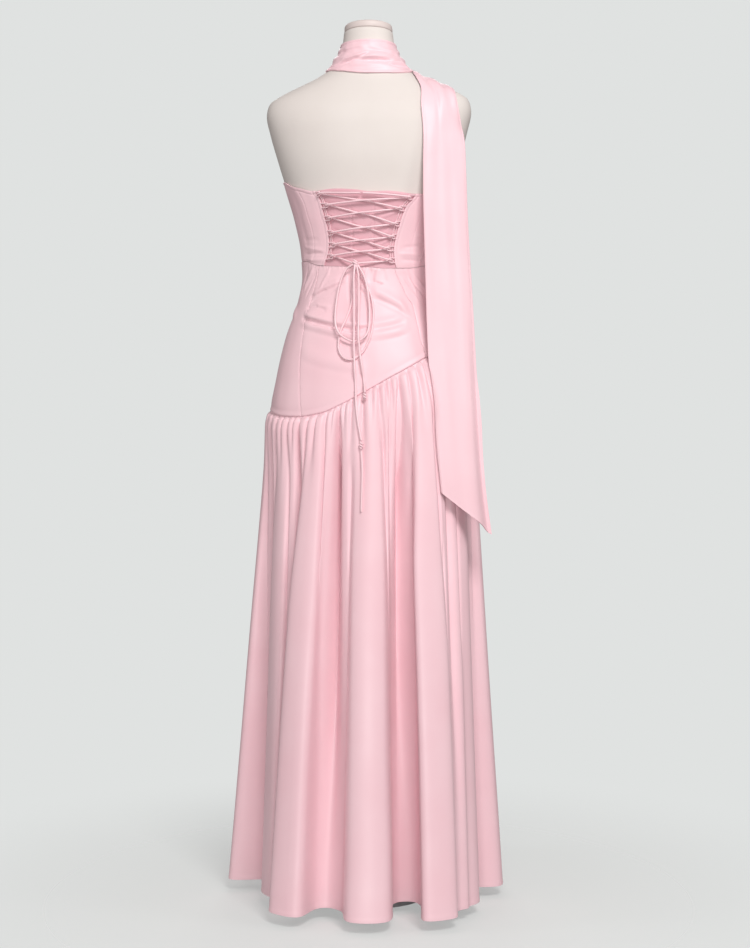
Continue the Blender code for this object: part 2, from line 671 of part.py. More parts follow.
def build_skirt_half(name, first, last):
    end_gap = 0.0030
    rows = skirt_rows(first, last)
    outer, inner, starts = [], [], []
    for row in rows:
        starts.append(len(outer))
        for flute, level in row:
            flute = min(max(flute, first + end_gap), last - end_gap)
            middle = skirt_point(flute, level)
            half = skirt_normal(flute, level) * (SKIRT_WALL / 2)
            if level == 0.0:
                half = Vector((half.x, half.y, 0)).normalized() * (SKIRT_WALL / 2)
            outer.append(middle + half)
            inner.append(middle - half)
    base = len(outer)
    sheet, border = [], []
    for index in range(len(rows) - 1):
        upper, lower = starts[index], starts[index + 1]
        wide, narrow = len(rows[index]) - 1, len(rows[index + 1]) - 1
        if wide == narrow:
            for step in range(wide):
                sheet.append((upper + step, lower + step, lower + step + 1, upper + step + 1))
        else:
            for step in range(narrow):
                a, b, c = upper + 2 * step, upper + 2 * step + 1, upper + 2 * step + 2
                d, e = lower + step, lower + step + 1
                sheet += [(a, d, b), (b, d, e), (b, e, c)]
        border.append((upper, lower))
        border.append((lower + narrow, upper + wide))
    for step in range(len(rows[0]) - 1):
        border.append((starts[0] + step + 1, starts[0] + step))
    for step in range(len(rows[-1]) - 1):
        border.append((starts[-1] + step, starts[-1] + step + 1))
    faces = list(sheet)
    faces += [tuple(base + corner for corner in reversed(face)) for face in sheet]
    faces += [(b, a, base + a, base + b) for a, b in border]
    mesh_object(name, outer + inner, faces, "pink_satin")


def band_lift(turn, height):
    """Folds of the scarf round the neck: three soft ridges that climb round it."""
    low = read(BAND_LOWER_EDGE, wrap(turn))[0]
    share = (height - low) / (BAND_TOP - low)
    climb = 0.55 * math.sin(math.radians(turn) + 0.6)
    ridges = 0.5 - 0.5 * math.cos(2 * math.pi * (2.6 * share + climb))
    body = 0.0022 + 0.0036 * math.sin(math.pi * ease(share * 0.9 + 0.05))
    return FORM_GAP + body * (0.55 + 0.45 * ridges) * (0.25 + 0.75 * ease(share / 0.2))


def build_scarf_band():
    columns, rows = 32, 8
    places = []
    for row in range(rows):
        share = row / (rows - 1)
        line = []
        for column in range(columns):
            turn = wrap(360.0 * column / columns)
            height = mix(read(BAND_LOWER_EDGE, turn)[0], BAND_TOP, share)
            line.append((turn, height))
        places.append(line)
    outer, inner = form_grid(places, band_lift, SCARF_WALL)
    cloth_wall("scarf_neck", outer, inner, ring=True)


def clear_of_skirt(point):
    """Moves a point of the tail out to lie on the skirt or the basque, where it would be inside them."""
    turn = math.degrees(math.atan2(point.x, point.y))
    reach = 0.0
    steps, first, last = 90, 3.6, 6.2
    for step in range(steps):
        flute = mix(first, last, step / (steps - 1))
        top = skirt_top(flute)
        if point.z > top:
            continue
        place = skirt_point(flute, (top - point.z) / (top - HEM_HEIGHT))
        if abs(wrap(math.degrees(math.atan2(place.x, place.y)) - turn)) < 3.0:
            reach = max(reach, math.hypot(place.x, place.y))
    wanted = reach + SKIRT_WALL / 2 + SCARF_WALL / 2 + TAIL_CLEARANCE
    radius = math.hypot(point.x, point.y)
    if reach and radius < wanted:
        point = Vector((point.x * wanted / radius, point.y * wanted / radius, point.z))
    return point


def tail_middle(row, across):
    """Middle of the tail's wall: row number with a fraction, and share across from inner to outer."""
    shoulder = len(TAIL_ON_SHOULDER)
    if row < shoulder:
        inner_turn, inner_height, outer_turn, outer_height, lift = TAIL_ON_SHOULDER[row]
        turn = mix(inner_turn, outer_turn, across)
        height = mix(inner_height, outer_height, across)
        pleats = 0.0016 * (0.5 - 0.5 * math.cos(2 * math.pi * (2.0 * across + 0.1 * row)))
        hump = lift + pleats * math.sin(math.pi * across)
        hump *= math.sin(math.pi * mix(0.30, 0.70, across))
        return on_form(turn, height, FORM_GAP + SCARF_WALL / 2 + hump)
    ax, ay, az, bx, by, bz = TAIL_HANGING[row - shoulder]
    start, end = Vector((ax, ay, az)), Vector((bx, by, bz))
    side = (end - start)
    outward = Vector((-side.y, side.x, 0)).normalized() * -1
    down = (row - shoulder) / (len(TAIL_HANGING) - 1)
    bow = mix(0.006, 0.010, down) * math.sin(math.pi * across)
    fold = mix(0.0022, 0.0046, down) * math.sin(2 * math.pi * (1.4 * across + 0.35 * down))
    dip = -0.010 * down * (1 - down) * math.sin(math.pi * across)
    point = start.lerp(end, across) + outward * (bow + fold * math.sin(math.pi * across))
    point.z += dip
    return clear_of_skirt(point)


def build_scarf_tail():
    count = len(TAIL_ON_SHOULDER) + len(TAIL_HANGING)
    middle = [[tail_middle(row, column / (TAIL_COLUMNS - 1)) for column in range(TAIL_COLUMNS)]
              for row in range(count)]
    outer, inner = [], []
    for row in range(count):
        outer_line, inner_line = [], []
        for column in range(TAIL_COLUMNS):
            left, right = middle[row][max(column - 1, 0)], middle[row][min(column + 1, TAIL_COLUMNS - 1)]
            above, below = middle[max(row - 1, 0)][column], middle[min(row + 1, count - 1)][column]
            normal = (right - left).cross(below - above).normalized()
            outer_line.append(middle[row][column] - normal * (SCARF_WALL / 2))
            inner_line.append(middle[row][column] + normal * (SCARF_WALL / 2))
        outer.append(outer_line)
        inner.append(inner_line)
    cloth_wall("scarf_tail", outer, inner)


def smooth_route(route, step):
    """Evenly spaced points on a smooth curve through a route's points."""
    points = [Vector(point) for point in route]
    ends = [2 * points[0] - points[1]] + points + [2 * points[-1] - points[-2]]
    fine = []
    for index in range(len(points) - 1):
        a, b, c, d = ends[index:index + 4]
        for part in range(12):
            t = part / 12
            fine.append(0.5 * (2 * b + (c - a) * t + (2 * a - 5 * b + 4 * c - d) * t * t
                               + (3 * b - a - 3 * c + d) * t ** 3))
    fine.append(points[-1])
    length = sum((fine[i + 1] - fine[i]).length for i in range(len(fine) - 1))
    count = max(3, int(round(length / step)))
    wanted, walked, picked = length / count, 0.0, [fine[0]]
    for index in range(len(fine) - 1):
        piece = (fine[index + 1] - fine[index]).length
        while walked + piece >= wanted * len(picked) - 1e-9 and len(picked) < count:
            share = (wanted * len(picked) - walked) / piece
            picked.append(fine[index].lerp(fine[index + 1], share))
        walked += piece
    return picked + [fine[-1]]


def tube(name, points, radius, resolution):
    curve = bpy.data.curves.new(name, "CURVE")
    curve.dimensions = "3D"
    curve.bevel_depth = radius
    curve.bevel_resolution = resolution
    curve.use_fill_caps = True
    spline = curve.splines.new("POLY")
    spline.points.add(len(points) - 1)
    for index, point in enumerate(points):
        spline.points[index].co = (point[0], point[1], point[2], 1)
        spline.points[index].radius = 1.0
    place_object(name, curve, "pink_lace")


def loop_frame(turn, height, side):
    """Eye of a loop on the form and the direction along the cloth towards the middle of the back."""
    outward = figure_normal(turn, height)
    along = (figure_point(turn - side, height) - figure_point(turn, height)).normalized()
    return along, outward


def edge_place(side, height):
    return read(OPENING_LEFT if side > 0 else OPENING_RIGHT, height)[0]


def build_loops():
    """Small cloth loops along both edges of the opening, with room for the lace in their eyes."""
    for index, (left_turn, left_height, right_turn, right_height) in enumerate(LOOPS):
        sides = (("left", 1, left_turn, left_height), ("right", -1, right_turn, right_height))
        for word, side, turn, height in sides:
            along, outward = loop_frame(turn, height, side)
            tip = on_form(turn, height, LACE_EYE) + along * LOOP_TIP
            legs = []
            for way in (1, -1):
                foot_height = height + way * LOOP_HALF_HEIGHT
                foot = on_form(edge_place(side, foot_height), foot_height, LOOP_FOOT)
                foot += along * (LOOP_RADIUS + LOOP_OFF_EDGE)
                shoulder = tip - along * LOOP_BEND + Vector((0, 0, way * LOOP_HALF_HEIGHT * 0.86))
                legs.append((foot, foot.lerp(shoulder, 0.5) + outward * 0.0008, shoulder))
            upper, lower = legs
            route = (upper[0], upper[1], upper[2], tip, lower[2], lower[1], lower[0])
            tube("lacing_loop_%s_%d" % (word, index + 1), route, LOOP_RADIUS, 1)


def lace_route(first_side):
    """One half of the lace, from the middle of the top bar down its zigzag to the knot."""
    route = []
    side = first_side
    for index, row in enumerate(LOOPS):
        turn, height = (row[0], row[1]) if side > 0 else (row[2], row[3])
        along, outward = loop_frame(turn, height, side)
        eye = on_form(turn, height, 0.0)
        tip = eye + along * LOOP_TIP
        past = eye + along * 0.0095
        small = Vector((0, 0, 0.0008))
        if index == 0:
            start_height = 0.5 * (LOOPS[0][1] + LOOPS[0][3]) + 0.0022
            middle_turn = 0.9 * side
            route.append(on_form(middle_turn, start_height, LACE_OVER))
            turn_here = mix(middle_turn, turn, 0.45)
            height_here = mix(start_height, height + 0.001, 0.45)
            route.append(on_form(turn_here, height_here, LACE_OVER))
        route.append(past + outward * LACE_OVER + small * 2)
        route.append(tip + outward * (LACE_OVER + 0.0003) + small)
        route.append(eye - along * 0.0018 + outward * LACE_EYE)
        route.append(tip + outward * (LACE_UNDER - 0.0003) - small)
        route.append(past + outward * LACE_UNDER - small * 2)
        if index + 1 < len(LOOPS):
            after = LOOPS[index + 1]
            next_turn, next_height = (after[2], after[3]) if side > 0 else (after[0], after[1])
            over = (index + (first_side > 0)) % 2 == 0
            level = LACE_OVER - 0.0004 if over else LACE_UNDER + 0.0002
            for share in (0.38, 0.62):
                turn_here = mix(turn, next_turn, share)
                height_here = mix(height - 0.002, next_height + 0.002, share)
                route.append(on_form(turn_here, height_here, level))
        side = -side
    return route


def cloth_behind(x, height):
    """How far back the cloth's outside reaches at a place of the back: the bodice, basque or skirt."""
    turn = 0.0
    for _ in range(4):
        place = figure_point(turn, height)
        turn += math.degrees((x - place.x) / max(place.y, 0.05))
    if height > seam_height(turn):
        lift = basque_lift(turn, height) + BASQUE_WALL
        if height > waist_height(turn):
            lift = FORM_GAP + BODICE_WALL
        return on_form(turn, height, lift).y
    reach, steps, first, last = 0.0, 160, 2.2, 3.8
    for step in range(steps):
        flute = mix(first, last, step / (steps - 1))
        top = skirt_top(flute)
        if height > top:
            continue
        place = skirt_point(flute, (top - height) / (top - HEM_HEIGHT))
        if abs(place.x - x) < 0.0025:
            reach = max(reach, place.y + SKIRT_WALL / 2)
    return reach


def behind_cloth(x, height, distance):
    return Vector((x, cloth_behind(x, height) + distance, height))


def knot_centre():
    return behind_cloth(*KNOT_PLACE)


def knot_side(from_down, tilt):
    """A point just off the knot's surface, in the direction in which a cord leaves it."""
    swing, lean = math.radians(from_down), math.radians(tilt)
    way = Vector((math.sin(swing) * math.cos(lean), math.sin(lean), -math.cos(swing) * math.cos(lean)))
    return knot_centre() + way * (KNOT_RADIUS + 0.0012)


def build_lace():
    centre = knot_centre()
    for name, side in (("lace_from_left", 1), ("lace_from_right", -1)):
        route = lace_route(side)
        last = route[-1]
        towards = (last - centre)
        towards.z = 0
        near = centre + towards.normalized() * (KNOT_RADIUS + 0.0004)
        route.append(last.lerp(near, 0.5) + Vector((0, 0.0008, 0)))
        route.append(near)
        tube(name, route, LACE_RADIUS, 1)


def rounded_knot(name, centre, radius, half_height):
    points, rings, segments = [], 5, 10
    for ring in range(rings):
        angle = math.pi * (ring + 0.5) / rings - math.pi / 2
        for step in range(segments):
            around = 2 * math.pi * step / segments
            points.append((centre[0] + radius * math.cos(angle) * math.cos(around),
                           centre[1] + radius * math.cos(angle) * math.sin(around),
                           centre[2] + half_height * math.sin(angle)))
    faces = [tuple(range(segments)), tuple(range(len(points) - segments, len(points)))]
    for row in range(rings - 1):
        for step in range(segments):
            right = (step + 1) % segments
            a, b = row * segments + step, row * segments + right
            faces.append((a, b, b + segments, a + segments))
    mesh_object(name, points, faces, "pink_lace")


def end_knot_place(name, side):
    """Middle of a small knot, or a point just above (1) or below (-1) it."""
    for knot, x, height, radius, half_height, gap in END_KNOTS:
        if knot == name:
            middle = behind_cloth(x, height, radius + gap)
            return middle + Vector((0, 0, side * (half_height + KNOT_END_GAP)))


def cord_end(meets):
    return end_knot_place(*meets) if isinstance(meets[0], str) else knot_side(*meets)


def build_bow():
    rounded_knot("lace_knot", knot_centre(), KNOT_RADIUS, KNOT_RADIUS)
    for name, route, start, end in FREE_CORDS:
        placed = [behind_cloth(*place) for place in route]
        if start:
            placed.insert(0, cord_end(start))
        if end:
            placed.append(cord_end(end))
        tube(name, smooth_route(placed, CORD_STEP), CORD_RADIUS, 2)
    for name, _, _, radius, half_height, _ in END_KNOTS:
        rounded_knot(name, end_knot_place(name, 0), radius, half_height)


def main():
    clear_scene()
    build_form()
    build_stand()
    build_bodice_front()
    build_bodice_back()
    build_modesty_panel()
    build_basque()
    build_skirt_half("skirt_back", 0, 6)
    build_skirt_half("skirt_front", 6, 12)
    build_scarf_band()
    build_scarf_tail()
    build_loops()
    build_lace()
    build_bow()


main()
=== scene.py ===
"""Looks of the halter dress on its form: satin crepe, corset lacing, gathered skirt and long scarf.

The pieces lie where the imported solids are. A place on the figure is given by its turn, in degrees
from the middle of the back towards +X, and its height in metres.
"""
import math

import bmesh
import bpy
import numpy as np
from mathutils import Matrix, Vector


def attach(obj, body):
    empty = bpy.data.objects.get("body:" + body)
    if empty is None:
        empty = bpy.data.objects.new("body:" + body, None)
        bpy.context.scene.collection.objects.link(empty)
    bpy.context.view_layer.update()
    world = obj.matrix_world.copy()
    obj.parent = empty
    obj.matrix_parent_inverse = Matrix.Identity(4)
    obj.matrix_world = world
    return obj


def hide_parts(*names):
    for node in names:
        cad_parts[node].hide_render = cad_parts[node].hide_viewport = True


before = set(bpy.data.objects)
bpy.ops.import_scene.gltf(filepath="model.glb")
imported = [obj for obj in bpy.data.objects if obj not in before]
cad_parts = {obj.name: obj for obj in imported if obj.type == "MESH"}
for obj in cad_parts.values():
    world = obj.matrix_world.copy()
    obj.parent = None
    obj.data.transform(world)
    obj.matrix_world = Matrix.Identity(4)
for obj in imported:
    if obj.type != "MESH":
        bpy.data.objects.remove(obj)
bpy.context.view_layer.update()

FORM_GAP = 0.0006
BODICE_WALL = 0.0014
BASQUE_WALL = 0.0014
SKIRT_WALL = 0.0012
SCARF_WALL = 0.0014
SEAM_GAP = 0.0003
CROSS_SEAM_GAP = 0.0006
NECK_TOP = 1.586
FORM_FOOT = 0.735
BAND_TOP = 1.561
HEM_HEIGHT = 0.020
HIP_HEIGHT = 0.875
FREE_CORD_RADIUS = 0.0019
LACE_RADIUS = 0.0017
SIDE_SEAM_TURN = 90.0
SIDE_SEAM_HALF = 0.15     # half of the gap at the side seam, in degrees of turn
PANEL_TUCK = 8.0          # how far the panel under the lacing reaches past its edges, in degrees
THIN_WALL = 0.8           # the panel's wall as a share of the bodice's
FIT_ROUNDS = 8            # rounds that fit a grid between edges that depend on each other
SHARP_ANGLE = 55.0
FLOOR_BELOW = 0.0004

# Sections of the dress form: height, half width, depth to the front, depth to the back, squareness
FIGURE = (
    (0.735, 0.1500, 0.086, 0.106, 2.20),
    (0.800, 0.1680, 0.098, 0.124, 2.25),
    (0.875, 0.1790, 0.103, 0.131, 2.25),
    (0.950, 0.1675, 0.103, 0.122, 2.20),
    (1.020, 0.1515, 0.100, 0.106, 2.15),
    (1.090, 0.1280, 0.093, 0.088, 2.10),
    (1.135, 0.1203, 0.086, 0.081, 2.10),
    (1.180, 0.1235, 0.086, 0.080, 2.10),
    (1.240, 0.1353, 0.104, 0.086, 2.15),
    (1.290, 0.1500, 0.118, 0.092, 2.20),
    (1.350, 0.1685, 0.104, 0.097, 2.25),
    (1.400, 0.1830, 0.084, 0.095, 2.25),
    (1.435, 0.1903, 0.070, 0.087, 2.20),
    (1.4545, 0.1865, 0.062, 0.078, 2.15),
    (1.470, 0.1650, 0.058, 0.071, 2.10),
    (1.485, 0.1330, 0.055, 0.065, 2.05),
    (1.500, 0.1000, 0.053, 0.060, 2.00),
    (1.514, 0.0770, 0.051, 0.055, 2.00),
    (1.530, 0.0600, 0.049, 0.051, 2.00),
    (1.550, 0.0500, 0.047, 0.048, 2.00),
    (1.586, 0.0455, 0.045, 0.045, 2.00),
)

# Seams and edges that run round the body: turn, height
WAIST_SEAM = (
    (-180, 1.158), (-90, 1.154), (-60, 1.148), (-40, 1.1415), (-20, 1.1400), (0, 1.1430),
    (20, 1.145), (40, 1.149), (60, 1.160), (90, 1.164), (180, 1.158),
)
SKIRT_SEAM = (
    (-180, 0.962), (-150, 0.985), (-120, 1.000), (-90, 1.004), (-65, 0.997), (-47, 0.983),
    (-23, 0.949), (0, 0.911), (11, 0.893), (22, 0.879), (36, 0.873), (50, 0.875),
    (67, 0.883), (90, 0.893), (120, 0.908), (150, 0.930), (180, 0.962),
)
BACK_TOP_EDGE = (
    (-90, 1.304), (-72, 1.294), (-56, 1.279), (-38, 1.274), (-18, 1.278), (-6, 1.277),
    (5, 1.281), (21, 1.284), (36, 1.282), (48, 1.290), (60, 1.298), (72, 1.308), (90, 1.314),
)
BAND_LOWER_EDGE = (
    (-180, 1.490), (-150, 1.495), (-120, 1.508), (-90, 1.511), (-60, 1.503), (-30, 1.4965),
    (-5, 1.4960), (28, 1.5035), (45, 1.508), (70, 1.512), (90, 1.5135), (120, 1.508),
    (150, 1.495), (180, 1.490),
)

# Edges that run down the body: height, turn
OPENING_LEFT = (
    (1.140, 36.0), (1.150, 35.0), (1.165, 31.5), (1.178, 29.7), (1.197, 28.9), (1.217, 29.1),
    (1.242, 30.9), (1.261, 31.5), (1.290, 36.0),
)
OPENING_RIGHT = (
    (1.135, -30.0), (1.150, -27.4), (1.176, -26.0), (1.195, -27.1), (1.218, -29.1),
    (1.248, -32.4), (1.268, -38.0), (1.290, -42.0),
)
BASQUE_SEAM_LEFT = (
    (0.865, 34.0), (0.900, 36.3), (0.976, 41.9), (1.025, 44.6), (1.052, 47.0), (1.070, 47.8),
    (1.096, 46.4), (1.145, 42.2), (1.165, 41.0),
)
BASQUE_SEAM_RIGHT = (
    (0.950, -43.5), (0.987, -42.8), (1.014, -40.6), (1.047, -40.7), (1.070, -40.8),
    (1.091, -36.1), (1.103, -34.1), (1.141, -27.0), (1.165, -25.0),
)
BASQUE_FRONT_TURN = 140.0
FRONT_SEAM_LEFT = ((0.80, BASQUE_FRONT_TURN), (1.20, BASQUE_FRONT_TURN))
FRONT_SEAM_RIGHT = ((0.80, -BASQUE_FRONT_TURN), (1.20, -BASQUE_FRONT_TURN))
FRONT_SEAM_FAR = ((0.80, 360 - BASQUE_FRONT_TURN), (1.20, 360 - BASQUE_FRONT_TURN))

# The halter front: height, half of its spread in turn, measured from the middle of the front
HALTER_SPREAD = (
    (1.140, 90.0), (1.290, 90.0), (1.312, 87.0), (1.322, 76.0), (1.340, 60.0), (1.372, 45.0),
    (1.412, 33.0), (1.448, 26.5), (1.474, 29.0), (1.492, 38.0), (1.510, 41.0),
)

# Soft creases of the basque: turn and height of both ends, sag between them, ridge, half width.
# A crease has a round crest and a sharper trough below it.
BASQUE_CREASES = (
    (47, 1.060, 5, 1.036, 0.000, 0.0030, 0.009),
    (47, 1.044, 5, 1.017, 0.000, 0.0032, 0.010),
    (5, 1.036, -27, 1.047, 0.004, 0.0026, 0.009),
    (5, 1.017, -30, 1.030, 0.005, 0.0028, 0.010),
    (45, 1.094, 20, 1.116, 0.000, 0.0030, 0.009),
    (-8, 1.097, -34, 1.066, -0.004, 0.0034, 0.012),
    (8, 1.128, -6, 1.090, 0.000, 0.0018, 0.008),
    (62, 1.110, 48, 1.142, 0.000, 0.0020, 0.007),
    (-46, 1.100, -38, 1.136, 0.000, 0.0020, 0.007),
    (40, 0.990, 0, 0.962, 0.004, 0.0016, 0.014),
    (150, 1.060, 180, 1.040, 0.000, 0.0026, 0.011),
    (-178, 1.092, -146, 1.070, 0.000, 0.0024, 0.010),
    (-100, 1.095, -60, 1.062, 0.000, 0.0022, 0.010),
    (100, 1.085, 66, 1.060, 0.000, 0.0022, 0.010),
)
# Sharper small creases of the basque: turn and height of both ends, depth, half width.
# In all tables of creases a depth below zero is a hollow.
BASQUE_FINE = (
    (50, 1.0520, 33, 1.0400, -0.0036, 0.0034),
    (36, 1.0424, 18, 1.0314, -0.0044, 0.0032),
    (21, 1.0330, 2, 1.0246, -0.0040, 0.0032),
    (6, 1.0246, -6, 1.0320, -0.0028, 0.0034),
    (48, 1.0590, 24, 1.0430, 0.0024, 0.0045),
    (24, 1.0430, 0, 1.0350, 0.0020, 0.0045),
    (-10, 1.0300, -30, 1.0400, -0.0012, 0.0060),
    (48, 1.0900, 33, 1.1010, -0.0030, 0.0035),
    (36, 1.0990, 17, 1.1140, -0.0026, 0.0032),
    (50, 1.0722, 38, 1.0736, -0.0020, 0.0028),
    (40, 1.0736, 29, 1.0655, -0.0016, 0.0028),
    (-9, 1.1150, -15, 1.1110, -0.0028, 0.0045),
    (45, 1.0850, 24, 1.1020, -0.0018, 0.0055),
    (40, 1.0740, 26, 1.0700, 0.0014, 0.0040),
    (12, 1.1380, 9, 1.0800, -0.0016, 0.0035),
    (7, 1.1380, 6, 1.0700, 0.0014, 0.0032),
    (3, 1.1380, 4, 1.0720, -0.0016, 0.0032),
    (-3, 1.1380, 0, 1.1000, 0.0012, 0.0030),
    (-6, 1.1380, -7, 1.1140, -0.0016, 0.0030),
    (-10, 1.1360, -8, 1.1140, -0.0014, 0.0030),
    (-13, 1.1380, -10, 1.1180, 0.0012, 0.0040),
    (-17, 1.1380, -19, 1.1150, -0.0010, 0.0040),
    (-10, 1.0860, -30, 1.0640, -0.0020, 0.0070),
    (-34, 1.1200, -47, 1.0820, 0.0012, 0.0045),
    (-38, 1.1300, -56, 1.0900, -0.0014, 0.0045),
    (-44, 1.1320, -62, 1.0960, 0.0012, 0.0050),
    (55, 1.0960, 45, 1.1360, -0.0014, 0.0045),
    (68, 1.1020, 50, 1.1440, 0.0014, 0.0050),
    (74, 1.0900, 58, 1.1480, -0.0012, 0.0050),
    (30, 1.1380, 38, 1.1100, 0.0014, 0.0060),
)

# The big flutes of the skirt. Crest: turn at the seam, turn and radius at the hem.
# Valley after it: turn at the seam, turn and radius at the hem. Then how far the crest's lobe swells
# over the valley before it and over the valley after it, in turn, and how deep the sharp fold in the
# valley after it is.
FLUTES = (
    (82, 87, 0.2560, 65, 76, 0.168, 2.0, 3.0, 0.010),
    (50, 46, 0.2040, 36, 33, 0.176, 2.0, 1.2, 0.010),
    (23, 19, 0.2620, 11, 10.5, 0.189, 4.2, 1.6, 0.016),
    (-6, -5, 0.2620, -22, -22, 0.150, 1.4, 1.6, 0.012),
    (-34, -28, 0.2740, -48, -38.5, 0.244, 5.6, 1.0, 0.006),
    (-61, -48, 0.2380, -76, -72, 0.176, 1.0, 0.8, 0.010),
    (-93, -93, 0.2430, -107, -106, 0.188, 1.2, 2.8, 0.010),
    (-121, -120, 0.2480, -136, -135, 0.182, 2.6, 2.0, 0.012),
    (-150, -150, 0.2600, -165, -166, 0.196, 2.0, 3.4, 0.010),
    (-180, -181, 0.2560, -195, -195, 0.186, 3.0, 2.2, 0.014),
    (-211, -210, 0.2600, -226, -226, 0.182, 2.4, 3.0, 0.010),
    (-242, -242, 0.2520, -260, -258, 0.190, 3.0, 2.0, 0.012),
)
# Gathers under the seam across the back: turn, depth, how far down they run, half width in turn
BACK_GATHERS = (
    (72, 0.0034, 0.060, 1.3), (63, 0.0040, 0.110, 1.6), (55, 0.0038, 0.080, 1.3),
    (49, 0.0026, 0.045, 1.0), (44, 0.0040, 0.090, 1.3), (39.5, 0.0026, 0.035, 0.9),
    (35.2, 0.0042, 0.120, 1.3), (29.2, 0.0038, 0.055, 1.1), (24.1, 0.0034, 0.080, 1.1),
    (18.1, 0.0040, 0.050, 1.2), (14.5, 0.0022, 0.030, 0.8), (11.1, 0.0044, 0.160, 1.3),
    (7.7, 0.0030, 0.045, 1.0), (3.8, 0.0036, 0.070, 1.1), (-2.4, 0.0040, 0.090, 1.3),
    (-7.0, 0.0024, 0.040, 1.0), (-10.9, 0.0042, 0.075, 1.2), (-15.0, 0.0034, 0.050, 1.0),
    (-17.8, 0.0036, 0.060, 1.0), (-22.6, 0.0044, 0.150, 1.3), (-28.2, 0.0036, 0.060, 1.2),
    (-34.1, 0.0042, 0.090, 1.3), (-39.0, 0.0034, 0.050, 1.1), (-45.0, 0.0044, 0.120, 1.4),
    (-51.0, 0.0030, 0.050, 1.2), (-58.0, 0.0038, 0.080, 1.4), (-66.0, 0.0036, 0.060, 1.4),
    (-74.0, 0.0040, 0.110, 1.5),
)
FRONT_GATHER_PITCH = 6.4
# Long soft folds inside the flutes: flute number with a fraction, depth, half width in flutes,
# level where it starts and where it ends
SOFT_FOLDS = (
    (0.30, 0.0030, 0.070, 0.05, 0.80), (0.78, 0.0026, 0.060, 0.03, 0.60),
    (1.26, 0.0034, 0.070, 0.04, 0.95), (1.74, 0.0030, 0.060, 0.02, 0.55),
    (2.22, 0.0030, 0.055, 0.02, 0.50), (2.74, 0.0036, 0.075, 0.10, 1.10),
    (3.20, 0.0044, 0.075, 0.03, 0.90), (3.32, 0.0026, 0.050, 0.02, 0.45),
    (3.78, 0.0032, 0.060, 0.02, 0.70), (4.20, 0.0030, 0.070, 0.05, 0.55),
    (4.28, 0.0022, 0.050, 0.30, 1.10), (4.80, 0.0034, 0.070, 0.02, 0.60),
    (5.24, 0.0030, 0.070, 0.05, 0.90), (5.76, 0.0030, 0.060, 0.03, 0.70),
    (6.26, 0.0034, 0.070, 0.04, 0.85), (6.76, 0.0028, 0.060, 0.03, 0.55),
    (7.24, 0.0032, 0.065, 0.02, 0.90), (7.76, 0.0030, 0.070, 0.05, 0.65),
    (8.22, 0.0034, 0.070, 0.03, 1.00), (8.76, 0.0030, 0.060, 0.04, 0.60),
    (9.26, 0.0032, 0.070, 0.02, 0.75), (9.74, 0.0030, 0.060, 0.05, 1.00),
    (10.22, 0.0034, 0.070, 0.03, 0.60), (10.78, 0.0028, 0.060, 0.02, 0.85),
    (11.26, 0.0032, 0.070, 0.04, 0.70), (11.76, 0.0030, 0.060, 0.03, 0.95),
)

# Creases of the scarf round the neck: turn and height of both ends, depth, half width
NECK_CREASES = (
    (40, 1.5145, -4, 1.5307, -0.0044, 0.0032),
    (60, 1.5100, 40, 1.5145, -0.0026, 0.0030),
    (12, 1.5215, -42, 1.5195, -0.0038, 0.0034),
    (-34, 1.5110, -64, 1.5110, -0.0044, 0.0028),
    (50, 1.5400, 10, 1.5440, -0.0012, 0.0030),
    (24, 1.5080, -20, 1.5060, -0.0012, 0.0030),
    (-10, 1.5400, -60, 1.5340, -0.0018, 0.0034),
    (75, 1.5250, 130, 1.5100, -0.0020, 0.0034),
    (90, 1.5400, 170, 1.5300, -0.0022, 0.0036),
    (140, 1.5130, 190, 1.5200, -0.0020, 0.0034),
    (-75, 1.5230, -130, 1.5120, -0.0022, 0.0034),
    (-90, 1.5420, -160, 1.5260, -0.0020, 0.0036),
)

# The scarf's tail. Down to its shoulder row it lies on the form: inner turn and height, outer turn and
# height, lift off the form. Then it hangs: inner x, y, z and outer x, y, z.
TAIL_ON_SHOULDER = (
    (-128, 1.4980, -121, 1.4780, 0.0004),
    (-112, 1.5040, -108, 1.4790, 0.0006),
    (-92, 1.5110, -92, 1.4790, 0.0010),
    (-74, 1.5070, -79, 1.4760, 0.0014),
    (-58, 1.5000, -66, 1.4660, 0.0018),
    (-44, 1.4850, -58, 1.4500, 0.0022),
    (-35, 1.4640, -59, 1.4280, 0.0026),
    (-32, 1.4340, -64.5, 1.4040, 0.0030),
)
TAIL_HANGING = (
    (-0.1085, 0.0850, 1.390, -0.1795, 0.0500, 1.375),
    (-0.1090, 0.0880, 1.325, -0.1830, 0.0530, 1.315),
    (-0.1095, 0.0900, 1.260, -0.1855, 0.0560, 1.250),
    (-0.1115, 0.0920, 1.190, -0.1890, 0.0590, 1.180),
    (-0.1140, 0.0950, 1.115, -0.1940, 0.0630, 1.105),
    (-0.1165, 0.0990, 1.040, -0.1985, 0.0680, 1.030),
    (-0.1205, 0.1060, 0.965, -0.2035, 0.0740, 0.945),
    (-0.1270, 0.1160, 0.895, -0.2090, 0.0810, 0.865),
    (-0.1330, 0.1240, 0.830, -0.2150, 0.0870, 0.785),
    (-0.1385, 0.1290, 0.780, -0.2220, 0.0910, 0.720),
    (-0.1430, 0.1310, 0.739, -0.2300, 0.0930, 0.664),
)

